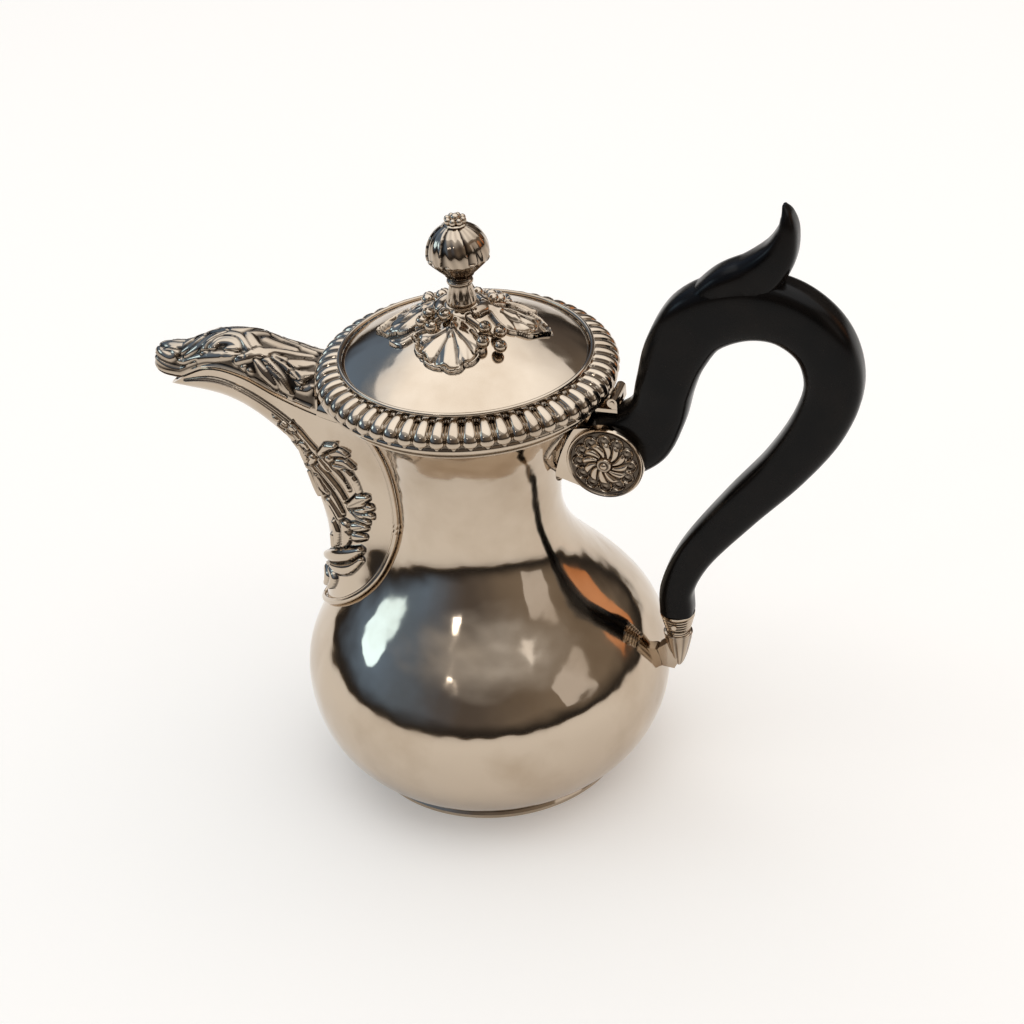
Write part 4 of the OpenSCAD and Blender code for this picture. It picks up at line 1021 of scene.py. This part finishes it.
# sprays on the spout: shares along it from the seat to the lip, and down it from the top edge
foliage = {"u": (0.03, 0.53), "w": (0.04, 0.985), "rows": 190, "columns": 250, "sunk": 0.15, "under": 0.6}
frond = [
    # strands led down from the wires
    ([(0.5, 0.56), (0.42, 0.58), (0.33, 0.585), (0.24, 0.6), (0.17, 0.65)], (0.5, 0.9, 1.1, 1.2, 0.8), 1.2),
    ([(0.37, 0.235), (0.3, 0.25), (0.23, 0.28), (0.18, 0.32), (0.14, 0.37), (0.118, 0.43)],
     (0.4, 0.8, 1.0, 1.1, 1.1, 0.9), 1.3),
    ([(0.47, 0.44), (0.39, 0.45), (0.3, 0.46), (0.22, 0.49), (0.165, 0.55), (0.13, 0.61)],
     (0.5, 0.9, 1.1, 1.2, 1.2, 0.9), 1.3),
    ([(0.43, 0.34), (0.34, 0.35), (0.27, 0.37), (0.2, 0.41), (0.15, 0.47), (0.125, 0.52)],
     (0.5, 0.9, 1.1, 1.2, 1.2, 0.9), 1.5),
    ([(0.42, 0.345), (0.34, 0.355), (0.27, 0.375), (0.2, 0.415), (0.15, 0.475)],
     (0.2, 0.35, 0.4, 0.4, 0.3), -0.6),
    ([(0.45, 0.445), (0.38, 0.455), (0.3, 0.465), (0.22, 0.495), (0.17, 0.545)],
     (0.2, 0.3, 0.4, 0.4, 0.3), -0.6),
    # buds and side leaves on the strands
    ([(0.492, 0.43), (0.485, 0.435)], (1.2, 1.2), 1.5),
    ([(0.44, 0.49), (0.42, 0.52), (0.4, 0.52)], (0.6, 1.1, 0.6), 1.4),
    ([(0.4, 0.36), (0.37, 0.3), (0.345, 0.28)], (0.5, 1.1, 0.6), 1.3),
    ([(0.35, 0.47), (0.315, 0.52), (0.29, 0.52)], (0.5, 1.3, 0.7), 1.4),
    ([(0.31, 0.36), (0.28, 0.32), (0.255, 0.32)], (0.5, 1.1, 0.6), 1.4),
    ([(0.28, 0.6), (0.245, 0.67), (0.22, 0.68)], (0.6, 1.4, 0.7), 1.3),
    ([(0.24, 0.42), (0.225, 0.37), (0.232, 0.362)], (0.8, 1.2, 1.2), 1.8),
    ([(0.22, 0.5), (0.195, 0.55), (0.175, 0.55)], (0.6, 1.3, 0.7), 1.5),
    ([(0.2, 0.33), (0.185, 0.36), (0.168, 0.37)], (0.6, 1.1, 0.6), 1.5),
    # plume
    ([(0.195, 0.275), (0.168, 0.205), (0.142, 0.168)], (0.8, 1.6, 0.9), 1.8),
    ([(0.165, 0.25), (0.13, 0.2), (0.108, 0.195)], (0.8, 1.5, 0.8), 1.7),
    ([(0.155, 0.28), (0.12, 0.255), (0.097, 0.265)], (0.8, 1.5, 0.8), 1.6),
    ([(0.15, 0.31), (0.122, 0.3), (0.104, 0.32)], (0.8, 1.3, 0.7), 1.5),
    ([(0.164, 0.268), (0.16, 0.27)], (1.3, 1.3), 2.1),
    ([(0.18, 0.245), (0.15, 0.185)], (0.3, 0.25), -0.6),
    ([(0.15, 0.24), (0.115, 0.203)], (0.3, 0.25), -0.6),
    ([(0.118, 0.31), (0.1, 0.35), (0.09, 0.41)], (0.9, 1.1, 1.0), 1.4),
    # fan of four fingers
    ([(0.112, 0.545), (0.088, 0.548), (0.066, 0.545)], (1.1, 1.7, 0.9), 1.4),
    ([(0.112, 0.535), (0.085, 0.515), (0.059, 0.5)], (1.1, 2.0, 1.0), 1.5),
    ([(0.112, 0.53), (0.085, 0.485), (0.061, 0.455)], (1.1, 2.0, 1.0), 1.6),
    ([(0.112, 0.52), (0.09, 0.455), (0.07, 0.41)], (1.1, 2.0, 1.0), 1.8),
    ([(0.11, 0.515), (0.074, 0.42)], (0.3, 0.25), -0.55),
    ([(0.108, 0.527), (0.066, 0.462)], (0.3, 0.25), -0.5),
    # forked leaf
    ([(0.172, 0.61), (0.145, 0.64), (0.118, 0.675)], (1.3, 1.6, 1.6), 1.7),
    ([(0.068, 0.575), (0.09, 0.615), (0.112, 0.67)], (1.0, 1.7, 1.5), 1.6),
    ([(0.064, 0.62), (0.084, 0.655), (0.106, 0.69)], (0.9, 1.5, 1.3), 1.5),
    ([(0.115, 0.655), (0.105, 0.7), (0.096, 0.75)], (1.8, 2.1, 1.0), 1.9),
    ([(0.165, 0.62), (0.125, 0.672), (0.1, 0.74)], (0.3, 0.4, 0.25), -0.7),
    ([(0.075, 0.585), (0.105, 0.665)], (0.25, 0.3), -0.6),
    ([(0.15, 0.72), (0.135, 0.75), (0.118, 0.79)], (0.9, 1.5, 0.8), 1.5),
    ([(0.142, 0.8), (0.124, 0.83)], (1.0, 1.2), 1.4),
    # rolled bar with its lower lip, and the last hanging leaf
    ([(0.1, 0.925), (0.076, 0.86), (0.056, 0.785), (0.049, 0.71)], (1.2, 1.7, 1.7, 1.0), 1.6),
    ([(0.12, 0.93), (0.102, 0.845), (0.078, 0.75), (0.061, 0.685)], (1.5, 2.1, 2.1, 1.3), 2.3),
    ([(0.078, 0.9), (0.056, 0.885), (0.036, 0.915)], (1.1, 2.0, 1.0), 1.6),
    ([(0.085, 0.955), (0.066, 0.935), (0.046, 0.945)], (1.6, 2.3, 1.2), 1.9),
    ([(0.074, 0.905), (0.045, 0.905)], (0.3, 0.25), -0.6),
    ([(0.08, 0.95), (0.052, 0.943)], (0.3, 0.25), -0.6),
]


def makeSpoutWork(name, node, values, lines):  # cast work laid on both sides of the spout
    us = np.linspace(*values["u"], values["rows"])
    ws = np.linspace(*values["w"], values["columns"])
    around = spoutSkin(us, ws, 1)
    strokes = []
    for line, widths, rise in lines:
        stops = smoothLine(line, 4) if len(line) > 2 else line
        strokes.append(([spoutSkin([u], [w], 1)[0, 0] for u, w in stops], widths, rise))
    height, depth = relief(around, strokes, wide=1.1, full=0.6, seam=0.36)
    parts, marks = [], []
    for side in (-1, 1):
        skin = around * (1, side, 1)
        normals = gridNormals(skin)
        normals *= np.sign(np.sum(normals[..., 1])) * side
        top = skin + normals * seated(height, depth, values["sunk"])[..., None]
        under = skin - normals * values["under"]
        parts.append((np.concatenate([top, under]), slabFaces(len(us), len(ws))))
        marks += [depth.ravel(), np.zeros(depth.size)]
    castPiece(name, "jug", node, *joined(parts), np.concatenate(marks), 70)


def makeSeatWire(values):  # a round moulding over the seam and a fine line beside it
    low = values["seatLow"] - 1.8
    w = np.sin(np.linspace(0, math.pi / 2, 60))
    z = values["topZ"] + (low - values["topZ"]) * w
    r = values["wireR"]
    lines = []
    for away, lift in ((values["wireAway"], r + pot["gap"]), (values["lineAway"], values["lineLift"])):
        turn = (seatHalf(z + 1.4) + away / bodyRadius(z)) * np.sqrt(1 - w**12)
        sides = [offBody(z, side * turn, lift) for side in (-1, 1)]
        lines.append(np.concatenate([sides[0], sides[1][-2::-1]]))
    parts = [tube(lines[0], r, 12), tube(lines[1], values["lineR"])]
    castPiece("spoutSeatWire", "jug", "spout_seat_wire", *joined(parts), crease=38)


makeSpout(spout)
makeCover(cover)
makeSpoutWork("spoutBorderWires", "spout_border_wires", wireStrip, wires)
makeSeatWire(spout)
makeSpoutWork("spoutFoliage", "spout_foliage", foliage, frond)
print("spout ready")

# handle
grip = {
    "scrollX": 43.6, "scrollZ": 116.5, "rosetteR": 11.7, "thick": 14.4, "scrollThick": 12.4, "loopX": 109.3,
    "archZ": 168.0, "thumb": 32.0, "socketX": 62.4, "socketZ": 60.0, "socketR": 5.2, "rivetR": 1.85,
    "tenonR": 2.4, "pinR": 0.85, "pinLow": 3, "pinHalf": 6.2, "rings": 170, "thumbRings": 60, "sides": 44,
    "square": 0.62,
}


def strapRings(keys, steps, sides, square):  # a softened rectangle led along a line of stations
    rings = []
    turns = (np.arange(sides) + 0.5) / sides * fullTurn
    across = np.sign(np.cos(turns)) * np.abs(np.cos(turns))**square
    sideways = np.sign(np.sin(turns)) * np.abs(np.sin(turns))**square
    for i in range(steps + 1):
        u = i / steps
        x, z, thick, wide = through(keys, u)
        run = (through(keys, u + 0.004) - through(keys, u - 0.004))[:2]
        run /= np.linalg.norm(run)
        out = thick * across
        rings.append(np.stack([x - run[1] * out, -wide * sideways, z + run[0] * out], 1))
    return np.array(rings)


def onScroll(rings):  # a shape turned round the upright axis, laid along the scroll's cross axis
    return np.stack([rings[..., 0] + grip["scrollX"], rings[..., 2], rings[..., 1] + grip["scrollZ"]], 2)


def loopStations(values):  # (x, z, half thickness in the loop's plane, half width) from scroll to foot
    x, z, loopX, archZ = values["scrollX"], values["scrollZ"], values["loopX"], values["archZ"]
    half, thin, socketR = values["thick"] / 2, values["scrollThick"] / 2, values["socketR"]
    rise = archZ - z
    keys = [(x + a * (loopX - x), z + b * rise, c, d) for a, b, c, d in (
        (0.024, 0.05, 11.7, thin), (0.138, 0.136, 10.7, thin), (0.222, 0.29, 8.6, thin),
        (0.262, 0.49, 8.6, half), (0.315, 0.70, 9.4, half), (0.42, 0.90, 10, half),
        (0.61, 1 + 0.2 / rise, 9.8, half), (0.80, 1 - 1 / rise, 9.2, half))]
    keys += [(loopX - 3.2, archZ - 9.2, 8.7, half - 0.2), (loopX + 0.2, archZ - 22, 8.5, half - 0.4)]
    keys += [(loopX - a * (loopX - values["socketX"]), archZ - b * (archZ - values["socketZ"]), c, d)
             for a, b, c, d in ((0.085, 0.335, 8, half - 0.7), (0.29, 0.475, 7.1, half - 1),
                                (0.57, 0.62, 6.4, half - 1.3), (0.86, 0.785, 5.6, socketR))]
    return keys + [(values["socketX"] + 0.5, values["socketZ"] + 10, socketR, socketR),
                   (values["socketX"], values["socketZ"] + 0.42, socketR, socketR)]


def thumbStations(values):  # the same for the thumb piece, from inside the loop's top to its tip
    half, rise = values["thick"] / 2, values["thumb"]
    return [(values["scrollX"] + a * (values["loopX"] - values["scrollX"]), values["archZ"] + b, c, d)
            for a, b, c, d in ((0.40, -3, 6, half - 1.2), (0.54, 4.5, 7.4, half - 0.6),
                               (0.66, 0.3 * rise, 6.8, half - 0.7), (0.755, 0.52 * rise, 5.2, half - 1.2),
                               (0.795, 0.74 * rise, 3.3, half - 2.2), (0.795, 0.9 * rise, 1.8, half - 3.4),
                               (0.78, rise, 0.5, 1.6))]


def makeGrip(values):
    sides, thin = values["sides"], values["scrollThick"] / 2
    loop = strapRings(loopStations(values), values["rings"], sides, values["square"])
    piece = makeMesh("handleGrip", loop, cappedFaces(len(loop), sides), ebonisedWood)
    thumb = strapRings(thumbStations(values), values["thumbRings"], sides, values["square"])
    outer, rim = values["rosetteR"] - 0.6, values["rosetteR"] - 1.0
    axis = pot["axisR"]
    edge = [(axis, -thin), (rim, -thin), (outer, -thin + 0.4), (outer, thin - 0.4), (rim, thin), (axis, thin)]
    disc = onScroll(turned(edge, 96))
    x, z = values["socketX"], values["socketZ"]
    pinZ = z - values["pinLow"]
    rivetEnds = [(values["scrollX"], y, values["scrollZ"]) for y in (-thin - 1, thin + 1)]
    pinEnds = [(x, y, pinZ) for y in (-values["pinHalf"], values["pinHalf"])]
    for name, (points, faces), operation in (
            ("thumb", (thumb, cappedFaces(len(thumb), sides)), "UNION"),
            ("scrollDisc", (disc, cappedFaces(len(disc), 96)), "UNION"),
            ("tenon", tube([(x, 0, z - 5), (x, 0, z + 2)], values["tenonR"], 32), "UNION"),
            ("rivetDrill", tube(rivetEnds, values["rivetR"], 32), "DIFFERENCE"),
            ("pinDrill", tube(pinEnds, values["pinR"], 24), "DIFFERENCE")):
        combine(piece, makeMesh(name, points, faces, ebonisedWood), operation)
    smoothFaces(piece.data, 34)
    place(piece, "jug", "handle_grip")


rosette = {
    "rows": 74, "columns": 240, "petals": 12, "seat": 7.84, "ground": 0.75, "rim": 11.35, "cupsAt": 7.75,
    "cupR": 1.85, "cupsFrom": 6.6, "swirlTo": 7.0, "swirlLean": 0.10, "hub": 2.5, "hubWire": 2.05,
    "rivetSeat": 1.7,
}


def makeRosettes(values):  # a raised rim, a ring of cupped petals, leaning petals inside it and a plain hub
    ground, rim, pitch = values["ground"], values["rim"], fullTurn / values["petals"]
    radii = np.linspace(0.05, grip["rosetteR"], values["rows"])
    r = np.repeat(radii[:, None], values["columns"], 1)
    a = np.repeat(angleSteps(values["columns"])[None, :], len(radii), 0)
    height = ground + 0.75 * bell(r, rim - 0.2, 0.22) + 0.35 * bell(r, rim - 0.8, 0.18)
    height = np.where(r > rim, ground + 0.75 * bell(r, rim, 0.3), height)
    off = (a + pitch / 2) % pitch - pitch / 2
    away = np.hypot(r * np.cos(off) - values["cupsAt"], r * np.sin(off))
    height += 0.95 * bell(away, values["cupR"], 0.26) * (r > values["cupsFrom"]) + 0.35 * bell(away, 0, 0.9)
    off = (a - values["swirlLean"] * (r - 4.6) + pitch) % pitch - pitch / 2
    wide = 0.36 * pitch * (0.7 + 0.3 * np.sin(zeroToOne((r - 2.2) / 4.6) * math.pi))
    end = zeroToOne((values["swirlTo"] - r) / 0.9)**0.5
    petals = zeroToOne(1 - (off / (wide * 1.25))**2)**0.5 * end * (r > 2.3)
    height = np.where(r < values["swirlTo"], np.maximum(height, 0.8 + 1.05 * petals), height)
    height = np.where(r < values["hub"], 0.9 + 1.1 * bell(r, values["hubWire"], 0.28), height)
    height = np.where(r < values["rivetSeat"], 1.5, height)
    # painted shade with tarnish on the low ground between rim, cups and petals
    marks = zeroToOne(1.25 - (height - ground) * 1.9) * zeroToOne((11.0 - r) * 3) * 0.9
    for side, name, node in ((-1, "rosetteNear", "rosette_near"), (1, "rosetteFar", "rosette_far")):
        top, back = (onScroll(polar(r, a, side * (values["seat"] + h))) for h in (height, 0))
        castSlab(name, "jug", node, top, back, marks, True, 60)


rivetHead = [  # radius, height and darkness from its middle out: a ball in a ring, the darkness being painted shade with tarnish round the ball's foot and under the rim
    (0.02, 1.5, 0), (0.55, 1.42, 0), (0.95, 1.1, 0), (1.15, 0.72, 0.5), (1.2, 0.5, 1), (1.45, 0.42, 0.8),
    (1.85, 0.5, 0), (2.1, 0.3, 0), (2.2, 0.0, 0.6), (1.8, 0.0, 1),
]


def makeRivet(sides=40):  # both ends are alike
    end = rosette["seat"] + 2.1
    line = [(r, end + h) for r, h, _ in rivetHead] + [(r, -end - h) for r, h, _ in rivetHead[::-1]]
    dark = [mark for _, _, mark in rivetHead]
    rings, faces = onScroll(turned(line, sides)), cappedFaces(len(line), sides)
    castPiece("scrollRivet", "jug", "scroll_rivet", rings, faces, np.repeat(dark + dark[::-1], sides), 38)


bracket = {
    "low": 102.9, "top": 127.3, "half": 15.3, "rows": 90, "columns": 110, "lift": 0.12, "sunk": 0.35,
    "under": 0.6,
}
plateWork = [  # (sideways, height) on one side: broad petals over a pointed leaf
    ([(0, 126.6), (0, 116.0), (0, 104.2)], (4.6, 5.0, 1.0), 1.15),
    ([(2.0, 110.0), (5.6, 116.0), (8.6, 121.0)], (2.2, 4.4, 5.4), 1.25),
    ([(0, 124.0), (0, 115.0), (0, 106.0)], (0.4, 0.5, 0.3), -0.8),
    ([(9.6, 124.5), (6.6, 116.8), (2.4, 110.4)], (0.4, 0.55, 0.3), -0.9),
    ([(12.0, 121.5), (8.8, 115.8), (4.6, 111.4)], (0.35, 0.5, 0.3), -0.8),
    ([(6.6, 126.0), (4.4, 118.0), (1.6, 111.0)], (0.35, 0.5, 0.3), -0.8),
]


def makeBracketPlate(values):
    rows, columns, half = values["rows"], values["columns"], values["half"]
    z = np.repeat(np.linspace(values["low"], values["top"], rows)[:, None], columns, 1)
    y = np.repeat(np.linspace(-half, half, columns)[None, :], rows, 0)
    height, depth = relief(np.stack([y, z], -1), smoothed(bothSides(plateWork)))
    turn = 180 - np.degrees(np.arcsin(y / bodyRadius(z)))
    top = offBody(z, turn, height + values["lift"] - values["sunk"] * (height <= 0.02))
    castSlab("bracketPlate", "jug", "bracket_plate", top, offBody(z, turn, -values["under"]), depth)


dropLeaf = {"under": 7.2, "length": 14.0, "folds": 5, "fold": 0.30, "rows": 40, "columns": 90}


def makeSocketLeaf(values):  # a folded leaf round the drop under the lower socket
    top = grip["socketZ"] - values["under"]
    low = top - values["length"]
    keys = [(0.03, low), (0.7, low + 0.8), (1.5, low + 2.4), (2.6, low + 5.8), (3.6, low + 9.8),
            (4.25, low + 12.6), (4.1, low + 13.7), (0.03, low + 13.8)]
    line = [through(keys, i / values["rows"]) for i in range(values["rows"] + 1)]

    def crests(angle):
        return np.abs(np.cos(values["folds"] * angle))

    def folds(r, height, angle):
        along = zeroToOne((top - height) / values["length"])
        return values["fold"] * crests(angle)**0.6 * np.sin(along * math.pi)**0.5 * (r > 0.5)

    rings = turned(line, values["columns"], folds)
    # painted shade with tarnish in the grooves between the folds
    grooves = np.tile((1 - crests(angleSteps(values["columns"])))**2 * 0.9, len(line))
    rings[..., 0] += grip["socketX"]
    castPiece("socketLeaf", "jug", None, rings, cappedFaces(*rings.shape[:2]), grooves)


makeGrip(grip)
makeRosettes(rosette)
makeRivet()
makeBracketPlate(bracket)
makeSocketLeaf(dropLeaf)
print("handle ready")
